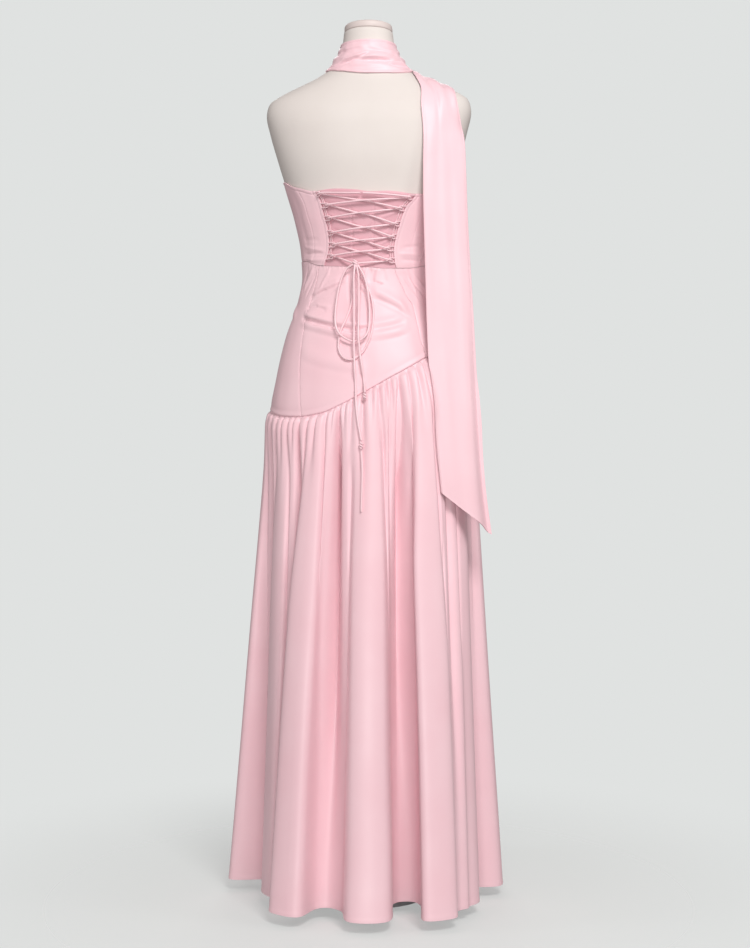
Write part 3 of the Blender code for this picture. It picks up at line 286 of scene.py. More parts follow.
# The lacing's loops, from the top down: turn and height on the left, turn and height on the right
LOOPS = (
    (31.4, 1.276, -34.2, 1.267),
    (26.5, 1.255, -28.4, 1.247),
    (25.9, 1.232, -26.5, 1.220),
    (25.2, 1.206, -24.9, 1.197),
    (24.3, 1.184, -21.3, 1.175),
    (26.7, 1.163, -23.4, 1.154),
)
LOOP_RADIUS = 0.0012
LOOP_HALF_HEIGHT = 0.0042
LOOP_TIP = 0.0035
LOOP_FOOT = 0.0034
LOOP_BEND = 0.0024
LACE_UNDER = 0.0040
LACE_EYE = 0.0069
LACE_OVER = 0.0098

KNOT_PLACE = (0.0118, 1.1480, 0.0115)
KNOT_RADIUS = 0.0072

# Routes of the free cords: x, height, and distance of the cord's middle off the cloth
BOW_LOOP_LARGE = (
    (0.0280, 1.1380, 0.0115), (0.0370, 1.1210, 0.0105), (0.0430, 1.0980, 0.0095),
    (0.0465, 1.0700, 0.0092), (0.0460, 1.0440, 0.0092), (0.0410, 1.0250, 0.0092), (0.0290, 1.0130, 0.0092),
    (0.0120, 1.0060, 0.0092), (-0.0050, 1.0110, 0.0092), (-0.0140, 1.0260, 0.0092),
    (-0.0150, 1.0560, 0.0092), (-0.0125, 1.0880, 0.0095), (-0.0060, 1.1180, 0.0110),
    (0.0005, 1.1330, 0.0120),
)
BOW_LOOP_SMALL = (
    (0.0160, 1.1200, 0.0055), (0.0175, 1.0950, 0.0046), (0.0195, 1.0720, 0.0044),
    (0.0270, 1.0480, 0.0044), (0.0365, 1.0240, 0.0044), (0.0395, 0.9980, 0.0044), (0.0345, 0.9830, 0.0044),
    (0.0260, 0.9750, 0.0044), (0.0150, 0.9735, 0.0044), (0.0040, 0.9790, 0.0044), (-0.0080, 0.9920, 0.0044),
    (-0.0190, 1.0200, 0.0044), (-0.0215, 1.0520, 0.0044), (-0.0180, 1.0830, 0.0046),
    (-0.0080, 1.1100, 0.0048), (0.0030, 1.1280, 0.0055),
)
LACE_END_SHORT = (
    (0.0060, 1.1250, 0.0155), (0.0045, 1.0900, 0.0140), (0.0035, 1.0500, 0.0138),
    (0.0030, 1.0210, 0.0138), (0.0015, 1.0020, 0.0138), (-0.0010, 0.9800, 0.0100),
    (-0.0045, 0.9600, 0.0080), (-0.0080, 0.9350, 0.0036),
)
LACE_END_LONG = (
    (0.0138, 1.1200, 0.0150), (0.0130, 1.0850, 0.0140), (0.0120, 1.0500, 0.0138),
    (0.0110, 1.0240, 0.0138), (0.0105, 1.0030, 0.0138), (0.0095, 0.9800, 0.0100), (0.0085, 0.9560, 0.0080),
    (0.0065, 0.9280, 0.0040), (0.0040, 0.8950, 0.0034), (0.0000, 0.8640, 0.0034),
)
LACE_END_TAG = (
    (-0.0095, 0.7800, 0.0028), (-0.0098, 0.7500, 0.0026), (-0.0095, 0.7250, 0.0026),
    (-0.0095, 0.7060, 0.0026),
)
# Small knots on the lace ends: x and height of the middle, radius, half height, gap to the cloth
END_KNOTS = {
    "lace_end_short_knot": (-0.0118, 0.9065, 0.0036, 0.0085, 0.0026),
    "lace_end_long_knot": (-0.0068, 0.8205, 0.0038, 0.0110, 0.0004),
}


def mix(low, high, share):
    return low + (high - low) * share


def ease(share):
    share = np.clip(share, 0.0, 1.0)
    return share * share * (3 - 2 * share)


def bump(off, width):
    return np.exp(-(off / width) ** 2)


def read(rows, at):
    """Reads a table's columns at values of its first column, on a curve that doesn't overshoot."""
    data = np.array(rows, dtype=float)
    knots, values = data[:, 0], data[:, 1:]
    spans = np.diff(knots)
    slopes = np.diff(values, axis=0) / spans[:, None]
    tangents = np.zeros_like(values)
    tangents[0], tangents[-1] = slopes[0], slopes[-1]
    before, after = slopes[:-1], slopes[1:]
    total = np.where(before * after > 0, before + after, 1.0)
    tangents[1:-1] = np.where(before * after > 0, 2 * before * after / total, 0.0)
    at = np.clip(np.asarray(at, dtype=float), knots[0], knots[-1])
    index = np.clip(np.searchsorted(knots, at, side="right") - 1, 0, len(knots) - 2)
    span = spans[index][..., None]
    share = ((at - knots[index]) / spans[index])[..., None]
    found = mix(values[index], values[index + 1], ease(share))
    found = found + share * (1 - share) ** 2 * span * tangents[index]
    found = found - share ** 2 * (1 - share) * span * tangents[index + 1]
    return found[..., 0] if found.shape[-1] == 1 else found


def wrap(turn):
    return (turn + 180.0) % 360.0 - 180.0


def figure_point(turn, height):
    """The form's surface at a turn in degrees and a height."""
    turn, height = np.broadcast_arrays(np.asarray(turn, float), np.asarray(height, float))
    half, front, back, square = np.moveaxis(read(FIGURE, height), -1, 0)
    side, ahead = np.sin(np.radians(turn)), np.cos(np.radians(turn))
    grow = (np.abs(side) ** square + np.abs(ahead) ** square) ** (-1 / square)
    depth = np.where(ahead >= 0, back, front)
    return np.stack([half * side * grow, depth * ahead * grow, height], axis=-1)


def unit(vectors):
    return vectors / np.maximum(np.linalg.norm(vectors, axis=-1, keepdims=True), 1e-12)


def figure_normal(turn, height):
    along = figure_point(turn + 0.5, height) - figure_point(turn - 0.5, height)
    up = figure_point(turn, height + 0.002) - figure_point(turn, height - 0.002)
    return unit(np.cross(up, along))


def on_form(turn, height, lift):
    return figure_point(turn, height) + figure_normal(turn, height) * np.asarray(lift)[..., None]


def waves(across, along, seed):
    """Smooth unevenness between about -1 and 1, the same each run."""
    total = 0.0
    for step, (stretch, lean) in enumerate(((1.0, 0.31), (1.73, -0.52), (2.61, 0.87), (3.9, -1.2))):
        phase = seed * 1.7 + step * 2.3
        one_way = np.sin(stretch * across + lean * along + phase)
        total = total + one_way * np.cos(0.7 * along - lean * across + phase)
    return total / 3.0


def crease(turn, height, line, width):
    """How near a place is to a crease's line, with its ends faded, and how far it is above the line."""
    turn_a, height_a, turn_b, height_b, sag = line
    along = wrap(turn - turn_a) / wrap(turn_b - turn_a + 1e-6)
    steep = abs(wrap(turn_b - turn_a)) < 8
    if steep:
        along = (height - height_a) / (height_b - height_a)
        off = np.radians(wrap(turn - mix(turn_a, turn_b, along))) * 0.10
    else:
        off = height - (mix(height_a, height_b, along) - sag * 4 * along * (1 - along))
    fade = ease((along + 0.15) / 0.3) * ease((1.15 - along) / 0.3)
    return fade * bump(off, width), off, fade


def creased(turn, height, table):
    """How far a table's creases lift places, each given by both ends, its depth and half width."""
    total = 0.0
    for turn_a, height_a, turn_b, height_b, depth, width in table:
        near, _, _ = crease(turn, height, (turn_a, height_a, turn_b, height_b, 0.0), width)
        total = total + depth * near
    return total


# Meshes

def grid_normals(points, ring=False):
    if ring:
        padded = np.concatenate([points[:, -1:], points, points[:, :1]], axis=1)
        across = (padded[:, 2:] - padded[:, :-2])
    else:
        across = np.gradient(points, axis=1)
    down = np.gradient(points, axis=0)
    return unit(np.cross(across, down))


def outward_normals(points):
    """Normals of a grid, turned as a whole away from the form's axis."""
    normals = grid_normals(points)
    faces_out = (normals * points * np.array([1, 1, 0])).sum(axis=-1).mean() >= 0
    return normals if faces_out else -normals


def wall_faces(rows, columns, ring):
    """Faces of a wall whose outer grid comes first and whose inner grid follows."""
    column = np.arange(columns if ring else columns - 1)
    right = (column + 1) % columns
    start = np.arange(rows - 1)[:, None] * columns
    under = start + columns
    outer = np.stack([start + column, start + right, under + right, under + column], axis=-1).reshape(-1, 4)
    back = rows * columns
    faces = [outer, outer[:, ::-1] + back]
    top = (rows - 1) * columns
    faces.append(np.stack([column, column + back, right + back, right], axis=-1))
    faces.append(np.stack([top + column, top + right, top + right + back, top + column + back], axis=-1))
    if not ring:
        row = np.arange(rows - 1) * columns
        for edge in (0, columns - 1):
            a = row + edge
            faces.append(np.stack([a, a + columns, a + columns + back, a + back], axis=-1))
    return np.concatenate(faces)


def add_object(name, data, finish, nodes):
    """Puts a piece into the scene with its material, riding on the part and standing for its nodes."""
    item = bpy.data.objects.new(name, data)
    bpy.context.scene.collection.objects.link(item)
    data.materials.append(finish)
    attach(item, "root")
    if nodes:
        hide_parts(*nodes)
    return item


def make_mesh(name, points, faces, finish, nodes):
    data = bpy.data.meshes.new(name)
    data.from_pydata(np.asarray(points).reshape(-1, 3).tolist(), [], [list(face) for face in faces])
    shell = bmesh.new()
    shell.from_mesh(data)
    bmesh.ops.recalc_face_normals(shell, faces=shell.faces)
    shell.to_mesh(data)
    shell.free()
    data.shade_smooth()
    data.set_sharp_from_angle(angle=math.radians(SHARP_ANGLE))
    return add_object(name, data, finish, nodes)


def make_cloth(name, outer, inner, finish, ring=False):
    """A wall of cloth between two grids of points; it stands for the solid of the same name."""
    rows, columns = outer.shape[:2]
    points = np.concatenate([outer.reshape(-1, 3), inner.reshape(-1, 3)])
    faces = wall_faces(rows, columns, ring).tolist()
    return make_mesh(name + "_cloth", points, faces, finish, [name])


def smooth_route(route, step):
    """Evenly spaced points on a smooth curve through a route's points."""
    points = [Vector(point) for point in route]
    ends = [2 * points[0] - points[1]] + points + [2 * points[-1] - points[-2]]
    fine = []
    for index in range(len(points) - 1):
        a, b, c, d = ends[index:index + 4]
        for part in range(16):
            t = part / 16
            fine.append(0.5 * (2 * b + (c - a) * t + (2 * a - 5 * b + 4 * c - d) * t * t
                               + (3 * b - a - 3 * c + d) * t ** 3))
    fine.append(points[-1])
    places = np.array([tuple(point) for point in fine])
    walked = np.concatenate([[0.0], np.cumsum(np.linalg.norm(np.diff(places, axis=0), axis=1))])
    count = max(4, int(round(walked[-1] / step)) + 1)
    wanted = np.linspace(0.0, walked[-1], count)
    return np.stack([np.interp(wanted, walked, places[:, axis]) for axis in range(3)], axis=-1)


def make_tube(name, points, radius, finish, nodes, radii=None):
    """A round cord along its points, as a curve of one open spline."""
    curve = bpy.data.curves.new(name, "CURVE")
    curve.dimensions = "3D"
    curve.bevel_depth = radius
    curve.bevel_resolution = 4
    curve.use_fill_caps = True
    spline = curve.splines.new("POLY")
    spline.points.add(len(points) - 1)
    for index, point in enumerate(points):
        spline.points[index].co = (point[0], point[1], point[2], 1)
        spline.points[index].radius = 1.0 if radii is None else radii[index]
    spline.use_smooth = True
    return add_object(name, curve, finish, nodes)


# Materials

def new_group(name, inputs, outputs):
    group = bpy.data.node_groups.new(name, "ShaderNodeTree")
    for word, kind, value in inputs:
        socket = group.interface.new_socket(word, in_out="INPUT", socket_type=kind)
        socket.default_value = value
    for word, kind in outputs:
        group.interface.new_socket(word, in_out="OUTPUT", socket_type=kind)
    return group, group.nodes.new("NodeGroupInput"), group.nodes.new("NodeGroupOutput")


def add_node(tree, kind, **settings):
    node = tree.nodes.new(kind)
    for word, value in settings.items():
        if word in node.bl_rna.properties:
            setattr(node, word, value)
        else:
            node.inputs[word.replace("_", " ")].default_value = value
    return node


def thread_group():
    """Fine crossing threads with slubs: a height for a bump, and a mask of brighter threads."""
    group, given, result = new_group(
        "threads",
        (("Pitch", "NodeSocketFloat", 1500.0), ("Lengthwise", "NodeSocketFloat", 0.22),
         ("Grain", "NodeSocketFloat", 0.5)),
        (("Height", "NodeSocketFloat"), ("Slubs", "NodeSocketFloat")))
    link = group.links.new
    place = add_node(group, "ShaderNodeTexCoord")
    stretch = add_node(group, "ShaderNodeCombineXYZ", X=1.0, Y=1.0)
    squeeze = add_node(group, "ShaderNodeVectorMath", operation="MULTIPLY")
    link(given.outputs["Lengthwise"], stretch.inputs["Z"])
    link(place.outputs["Object"], squeeze.inputs[0])
    link(stretch.outputs["Vector"], squeeze.inputs[1])
    warp = add_node(group, "ShaderNodeTexNoise", Detail=1.0)
    link(squeeze.outputs["Vector"], warp.inputs["Vector"])
    link(given.outputs["Pitch"], warp.inputs["Scale"])
    grain = add_node(group, "ShaderNodeTexNoise", Detail=2.0)
    faster = add_node(group, "ShaderNodeMath", operation="MULTIPLY")
    faster.inputs[1].default_value = 1.9
    link(given.outputs["Pitch"], faster.inputs[0])
    link(place.outputs["Object"], grain.inputs["Vector"])
    link(faster.outputs["Value"], grain.inputs["Scale"])
    both = add_node(group, "ShaderNodeMix", data_type="FLOAT")
    link(given.outputs["Grain"], both.inputs["Factor"])
    link(warp.outputs["Fac"], both.inputs["A"])
    link(grain.outputs["Fac"], both.inputs["B"])
    link(both.outputs["Result"], result.inputs["Height"])
    slow = add_node(group, "ShaderNodeTexNoise", Scale=9.0, Detail=3.0)
    link(squeeze.outputs["Vector"], slow.inputs["Vector"])
    link(slow.outputs["Fac"], result.inputs["Slubs"])
    return group


def shade_group():
    """Slight unevenness of a dyed or painted colour: a colour between two, and a matching roughness."""
    group, given, result = new_group(
        "uneven_colour",
        (("Light", "NodeSocketColor", (1, 1, 1, 1)), ("Dark", "NodeSocketColor", (1, 1, 1, 1)),
         ("Patch Scale", "NodeSocketFloat", 12.0), ("Threads", "NodeSocketFloat", 0.5),
         ("Smooth", "NodeSocketFloat", 0.4), ("Rough", "NodeSocketFloat", 0.5)),
        (("Color", "NodeSocketColor"), ("Roughness", "NodeSocketFloat")))
    link = group.links.new
    place = add_node(group, "ShaderNodeTexCoord")
    patch = add_node(group, "ShaderNodeTexNoise", Detail=3.0)
    link(place.outputs["Object"], patch.inputs["Vector"])
    link(given.outputs["Patch Scale"], patch.inputs["Scale"])
    both = add_node(group, "ShaderNodeMath", operation="ADD")
    link(patch.outputs["Fac"], both.inputs[0])
    link(given.outputs["Threads"], both.inputs[1])
    spread = add_node(group, "ShaderNodeMapRange")
    spread.inputs["From Min"].default_value = 0.7
    spread.inputs["From Max"].default_value = 1.3
    link(both.outputs["Value"], spread.inputs["Value"])
    paint = add_node(group, "ShaderNodeMix", data_type="RGBA")
    link(spread.outputs["Result"], paint.inputs["Factor"])
    link(given.outputs["Light"], paint.inputs["A"])
    link(given.outputs["Dark"], paint.inputs["B"])
    link(paint.outputs["Result"], result.inputs["Color"])
    rough = add_node(group, "ShaderNodeMix", data_type="FLOAT")
    link(spread.outputs["Result"], rough.inputs["Factor"])
    link(given.outputs["Smooth"], rough.inputs["A"])
    link(given.outputs["Rough"], rough.inputs["B"])
    link(rough.outputs["Result"], result.inputs["Roughness"])
    return group


THREADS = thread_group()
UNEVEN = shade_group()


def cloth_material(name, light, dark, smooth, rough, pitch, depth, **shader_values):
    """A surface with fine threads or grain: colour, roughness and bump come from the two groups."""
    made = bpy.data.materials.new(name)
    made.use_nodes = True
    tree = made.node_tree
    link = tree.links.new
    shader = tree.nodes["Principled BSDF"]
    threads = tree.nodes.new("ShaderNodeGroup")
    threads.node_tree = THREADS
    threads.inputs["Pitch"].default_value = pitch
    uneven = tree.nodes.new("ShaderNodeGroup")
    uneven.node_tree = UNEVEN
    uneven.inputs["Light"].default_value = (*light, 1)
    uneven.inputs["Dark"].default_value = (*dark, 1)
    uneven.inputs["Smooth"].default_value = smooth
    uneven.inputs["Rough"].default_value = rough
    link(threads.outputs["Slubs"], uneven.inputs["Threads"])
    link(uneven.outputs["Color"], shader.inputs["Base Color"])
    link(uneven.outputs["Roughness"], shader.inputs["Roughness"])
    relief = tree.nodes.new("ShaderNodeBump")
    relief.inputs["Strength"].default_value = 0.35
    relief.inputs["Distance"].default_value = depth
    link(threads.outputs["Height"], relief.inputs["Height"])
    link(relief.outputs["Normal"], shader.inputs["Normal"])
    for word, value in shader_values.items():
        shader.inputs[word.replace("_", " ")].default_value = value
    made.diffuse_color = (*light, 1)
    return made


SATIN = cloth_material(
    "pink_satin_crepe", (0.862, 0.592, 0.642), (0.838, 0.545, 0.597), 0.40, 0.50, 1300.0, 0.00012,
    Sheen_Weight=0.12, Sheen_Roughness=0.45, Sheen_Tint=(1.0, 0.86, 0.89, 1.0), Specular_IOR_Level=0.42)
# The modesty panel's satin: the same cloth in a darker colour, painted shade where the panel lies behind the
# lacing between the bodice's edges.
PAINTED_SHADE_PANEL_SATIN = cloth_material(
    "panel_satin_painted_shade", (0.690, 0.395, 0.447), (0.660, 0.360, 0.412), 0.45, 0.55, 1300.0, 0.00012,
    Sheen_Weight=0.10, Sheen_Roughness=0.5, Sheen_Tint=(1.0, 0.84, 0.87, 1.0), Specular_IOR_Level=0.35)
CORD_SATIN = cloth_material(
    "satin_cord", (0.870, 0.615, 0.662), (0.835, 0.555, 0.602), 0.34, 0.46, 1700.0, 0.00016,
    Sheen_Weight=0.18, Sheen_Roughness=0.40, Sheen_Tint=(1.0, 0.88, 0.90, 1.0), Specular_IOR_Level=0.50)
JERSEY = cloth_material(
    "form_jersey", (0.690, 0.636, 0.606), (0.662, 0.604, 0.574), 0.62, 0.74, 1100.0, 0.00010,
    Specular_IOR_Level=0.30)
CAP = cloth_material(
    "form_cap", (0.660, 0.575, 0.552), (0.628, 0.543, 0.520), 0.42, 0.55, 700.0, 0.00006,
    Specular_IOR_Level=0.40)
STEEL = cloth_material(
    "brushed_steel", (0.62, 0.62, 0.63), (0.52, 0.52, 0.53), 0.28, 0.42, 600.0, 0.00004, Metallic=1.0)


# Camera, light and floor

def build_studio():
    distance, swing, height = 2.733, math.radians(7.0), 0.771
    camera = bpy.data.objects.new("camera", bpy.data.cameras.new("camera"))
    bpy.context.scene.collection.objects.link(camera)
    camera.location = (-distance * math.sin(swing), distance * math.cos(swing), height)
    towards = Vector((math.sin(swing), -math.cos(swing), 0.0))
    camera.rotation_euler = towards.to_track_quat("-Z", "Y").to_euler()
    camera.data.sensor_fit = "AUTO"
    camera.data.sensor_width = 36.0
    camera.data.lens = 56.1
    camera.data.shift_x = 0.0069
    camera.data.clip_start = 0.05
    camera.data.clip_end = 50.0
    bpy.context.scene.camera = camera

    # Name, place, point it looks at, width, height, watts
    lights = (
        ("key_light", (-1.0, 2.3, 2.9), (0.0, 0.0, 0.85), 1.0, 0.9, 73.0),
        ("front_light", (-0.30, 4.0, 0.5), (0.0, 0.0, 0.35), 1.0, 1.6, 54.0),
        ("left_light", (2.7, 0.9, 1.5), (0.0, 0.0, 0.8), 0.7, 1.8, 13.0),
        ("right_light", (-2.8, 0.7, 1.8), (0.0, 0.0, 0.9), 0.7, 1.8, 11.0),
        ("far_light", (0.4, -2.6, 2.6), (0.0, 0.0, 0.9), 1.6, 1.4, 24.0),
    )
    for name, place, aim, width, tall, watts in lights:
        lamp = bpy.data.lights.new(name, "AREA")
        lamp.shape = "RECTANGLE"
        lamp.size = width
        lamp.size_y = tall
        lamp.energy = watts
        lamp.color = (1.0, 0.985, 0.97)
        item = bpy.data.objects.new(name, lamp)
        bpy.context.scene.collection.objects.link(item)
        item.location = place
        item.rotation_euler = (Vector(aim) - Vector(place)).to_track_quat("-Z", "Y").to_euler()

    world = bpy.data.worlds.new("studio")
    bpy.context.scene.world = world
    world.use_nodes = True
    tree = world.node_tree
    seen = tree.nodes["Background"]
    seen.inputs["Color"].default_value = (0.745, 0.761, 0.753, 1)
    seen.inputs["Strength"].default_value = 1.0
    lit = tree.nodes.new("ShaderNodeBackground")
    lit.inputs["Color"].default_value = (1.0, 0.97, 0.96, 1)
    lit.inputs["Strength"].default_value = 0.20
    path = tree.nodes.new("ShaderNodeLightPath")
    choose = tree.nodes.new("ShaderNodeMixShader")
    tree.links.new(path.outputs["Is Camera Ray"], choose.inputs["Fac"])
    tree.links.new(lit.outputs["Background"], choose.inputs[1])
    tree.links.new(seen.outputs["Background"], choose.inputs[2])
    tree.links.new(choose.outputs["Shader"], tree.nodes["World Output"].inputs["Surface"])
    bpy.context.scene.view_settings.view_transform = "Standard"
    bpy.context.scene.view_settings.look = "None"

    build_floor()


def build_floor():
    """A pale round floor whose rim fades into the backdrop."""
    data = bpy.data.meshes.new("floor")
    radii, segments = (0.0, 0.5, 1.0, 1.6, 2.2, 3.0), 64
    points = [(0.0, 0.0, -FLOOR_BELOW)]
    for radius in radii[1:]:
        for step in range(segments):
            angle = 2 * math.pi * step / segments
            points.append((radius * math.cos(angle), radius * math.sin(angle), -FLOOR_BELOW))
    faces = [(0, 1 + step, 1 + (step + 1) % segments) for step in range(segments)]
    for ring in range(len(radii) - 2):
        start = 1 + ring * segments
        for step in range(segments):
            right = (step + 1) % segments
            faces.append((start + step, start + segments + step, start + segments + right, start + right))
    data.from_pydata(points, [], faces)
    made = bpy.data.materials.new("pale_floor")
    made.use_nodes = True
    tree = made.node_tree
    shader = tree.nodes["Principled BSDF"]
    shader.inputs["Base Color"].default_value = (0.79, 0.805, 0.798, 1)
    shader.inputs["Roughness"].default_value = 0.9
    place = tree.nodes.new("ShaderNodeTexCoord")
    reach = tree.nodes.new("ShaderNodeVectorMath")
    reach.operation = "LENGTH"
    fade = tree.nodes.new("ShaderNodeMapRange")
    fade.interpolation_type = "SMOOTHSTEP"
    fade.inputs["From Min"].default_value = 0.18
    fade.inputs["From Max"].default_value = 1.10
    fade.inputs["To Min"].default_value = 0.50
    fade.inputs["To Max"].default_value = 0.0
    tree.links.new(place.outputs["Object"], reach.inputs[0])
    tree.links.new(reach.outputs["Value"], fade.inputs["Value"])
    tree.links.new(fade.outputs["Result"], shader.inputs["Alpha"])
    data.materials.append(made)
    item = bpy.data.objects.new("floor", data)
    bpy.context.scene.collection.objects.link(item)


# The dress form

def build_form():
    columns = 112
    between = np.linspace(FORM_FOOT + 0.006, NECK_TOP - 0.0015, 128)
    heights = np.concatenate([[FORM_FOOT], between, [NECK_TOP]])
    turn = np.arange(columns) * 360.0 / columns
    turns, levels = np.meshgrid(turn, heights)
    front = np.abs(wrap(turns)) > 100.0
    covered = ease((np.where(front, 1.47, 1.27) - levels) / 0.03)
    points = on_form(turns, levels, -mix(0.0004, 0.0030, covered))
    points[..., 2] = levels
    points[0, :, :2] *= 0.96
    points[-1, :, :2] *= 0.97
    faces = wall_faces(len(heights), columns, True)[:(len(heights) - 1) * columns].tolist()
    faces.append(list(range(columns)))
    faces.append(list(range((len(heights) - 1) * columns, len(heights) * columns)))
    make_mesh("form_torso_shell", points, faces, JERSEY, ["form_torso"])


def turned_solid(name, profile, finish, nodes, segments=96):
    """A solid turned about the Z axis from a profile of radius and height, lowest first."""
    angle = 2 * math.pi * np.arange(segments) / segments
    rings = [np.stack([radius * np.cos(angle), radius * np.sin(angle), np.full(segments, height)], axis=-1)
             for radius, height in profile]
    faces = wall_faces(len(profile), segments, True)[:(len(profile) - 1) * segments].tolist()
    faces.append(list(range(segments)))
    faces.append(list(range((len(profile) - 1) * segments, len(profile) * segments)))
    make_mesh(name, np.array(rings), faces, finish, nodes)


def build_stand():
    low = NECK_TOP + SEAM_GAP
    turned_solid("neck_cap_turned", (
        (0.0425, low), (0.0441, low + 0.0006), (0.0445, low + 0.0020), (0.0445, low + 0.0070),
        (0.0441, low + 0.0098), (0.0428, low + 0.0118), (0.0400, low + 0.0132), (0.0360, low + 0.0139),
        (0.0300, low + 0.0140), (0.0060, low + 0.0140)), CAP, ["form_neck_cap"])
    for name in ("form_pole", "form_base"):
        item = bpy.data.objects[name]
        item.data.materials.clear()
        item.data.materials.append(STEEL)


# Cloth that lies on the form

def seam_height(turn):
    return read(SKIRT_SEAM, wrap(turn))


def waist_height(turn):
    return read(WAIST_SEAM, wrap(turn))


def above_waist(turn):
    return waist_height(turn) + CROSS_SEAM_GAP / 2


def bounded_grid(rows, columns, start, end, low, high):
    """Turns and heights of a piece between two edges that run down and two that run round."""
    share = np.linspace(0.0, 1.0, columns)[None, :]
    level = np.asarray(rows)[:, None]
    turns = np.broadcast_to(mix(start(1.15), end(1.15), share), (len(rows), columns))
    for _ in range(FIT_ROUNDS):
        heights = mix(low(turns), high(turns), level)
        turns = mix(start(heights), end(heights), share)
    return turns, heights


def edge(table, shift=0.0):
    return lambda height: read(table, height) + shift


def fixed(turn):
    return lambda height: np.full(np.shape(height), turn)


def edge_roll(away, width=0.0045, rise=0.0005):
    """A turned edge: a little thicker up to its row of stitches, with a groove at the stitches."""
    roll = rise * ease(1 - np.abs(away - width * 0.45) / width)
    return roll - 0.0004 * bump(away - width * 1.35, 0.0009)


def panel_lift(turn, height):
    limit = np.where(turn >= 0, read(OPENING_LEFT, height), -read(OPENING_RIGHT, height))
    tuck = ease((limit + 30.0 - np.abs(turn)) / 14.0)
    return FORM_GAP + (BODICE_WALL * THIN_WALL + SEAM_GAP + 0.0006) * tuck


# Drag creases of the laced panels: turn and height of both ends, depth, half width
PANEL_CREASES = (
    (36, 1.1700, 62, 1.1740, -0.0012, 0.0030), (36, 1.1760, 60, 1.1860, 0.0010, 0.0034),
    (34, 1.1580, 70, 1.1640, 0.0012, 0.0036), (40, 1.1960, 60, 1.2000, -0.0006, 0.0040),
    (-34, 1.1780, -62, 1.1860, -0.0010, 0.0034), (-32, 1.1660, -64, 1.1680, 0.0012, 0.0036),
    (-34, 1.1560, -60, 1.1560, -0.0012, 0.0030), (-46, 1.2000, -62, 1.2100, 0.0007, 0.0040),
    (-52, 1.1500, -60, 1.1900, 0.0010, 0.0040),
)


def build_bodice_back():
    made = []
    rows = np.concatenate([np.linspace(0, 0.05, 6), np.linspace(0.05, 0.94, 76)[1:],
                           np.linspace(0.94, 1, 11)[1:]])
    side = SIDE_SEAM_TURN - SIDE_SEAM_HALF
    sides = (("bodice_back_left", OPENING_LEFT, side), ("bodice_back_right", OPENING_RIGHT, -side))
    for name, table, turn in sides:
        turns, heights = bounded_grid(
            rows, 110, edge(table), fixed(turn), above_waist, lambda turn: read(BACK_TOP_EDGE, turn))
        top = read(BACK_TOP_EDGE, turns) - heights
        from_edge = np.radians(np.abs(turns - read(table, heights))) * 0.11
        base = panel_lift(turns, heights)
        lift = base + edge_roll(top) + edge_roll(from_edge, 0.0040, 0.0006)
        lift = lift + creased(turns, heights, PANEL_CREASES)
        channel = np.abs(turns) - np.abs(read(table, heights)) - 16.0
        lift = lift - 0.0005 * bump(np.radians(channel) * 0.11, 0.0010)
        lift = lift + 0.00035 * waves(np.radians(turns) * 9, heights * 55, 3.0) * ease(top / 0.01)
        low = ease((heights - waist_height(turns)) / 0.006)
        lift = base + (lift - base) * mix(0.3, 1.0, low) - 0.0005 * (1 - low)
        outer = on_form(turns, heights, lift + BODICE_WALL)
        inner = on_form(turns, heights, base - 0.0003)
        made.append(make_cloth(name, outer, inner, SATIN))
    return made


# Creases of the modesty panel, whose satin is darkened as painted shade: V folds and slanting wrinkles, turn
# and height of both ends, depth, half width
SHADED_CREASES = (
    (9, 1.2440, 0, 1.2300, -0.00128, 0.0022), (0, 1.2300, -9, 1.2430, -0.00128, 0.0022),
    (9, 1.2230, 0, 1.2080, -0.00128, 0.0022), (0, 1.2080, -9, 1.2210, -0.00128, 0.0022),
    (28, 1.2650, 0, 1.2600, 0.00112, 0.0045), (0, 1.2600, -32, 1.2640, 0.00112, 0.0045),
    (26, 1.2380, 12, 1.2280, 0.00112, 0.0030), (-12, 1.2280, -28, 1.2420, 0.00112, 0.0030),
    (24, 1.2120, 12, 1.2020, -0.00096, 0.0026), (-12, 1.2020, -24, 1.2160, -0.00096, 0.0026),
    (24, 1.1860, 8, 1.1760, 0.00096, 0.0030), (-8, 1.1760, -22, 1.1920, 0.00096, 0.0030),
    (26, 1.1660, 0, 1.1580, -0.00096, 0.0030), (0, 1.1580, -24, 1.1660, -0.00096, 0.0030),
)


def build_modesty_panel():
    rows = np.linspace(0, 1, 92)
    turns, heights = bounded_grid(
        rows, 112, edge(OPENING_RIGHT, -PANEL_TUCK), edge(OPENING_LEFT, PANEL_TUCK),
        above_waist, lambda turn: read(BACK_TOP_EDGE, turn) - 0.0006)
    inside = np.minimum(read(OPENING_LEFT, heights) - turns, turns - read(OPENING_RIGHT, heights))
    free = ease((inside - 1.0) / 5.0)
    top = read(BACK_TOP_EDGE, turns) - heights
    lift = creased(turns, heights, SHADED_CREASES)
    for channel in (8.5, -8.5):
        fade = ease((1.262 - heights) / 0.02)
        lift = lift - 0.0008 * fade * bump(np.radians(turns - channel) * 0.085, 0.0011)
    lift = lift * free + 0.0018 * free * bump(top - 0.0045, 0.0038)
    outer = on_form(turns, heights, FORM_GAP + BODICE_WALL * THIN_WALL + np.maximum(lift, -0.0008))
    inner = on_form(turns, heights, np.full(turns.shape, FORM_GAP - 0.0006))
    # The darker panel satin is painted shade, not a different cloth.
    return make_cloth("modesty_panel", outer, inner, PAINTED_SHADE_PANEL_SATIN)


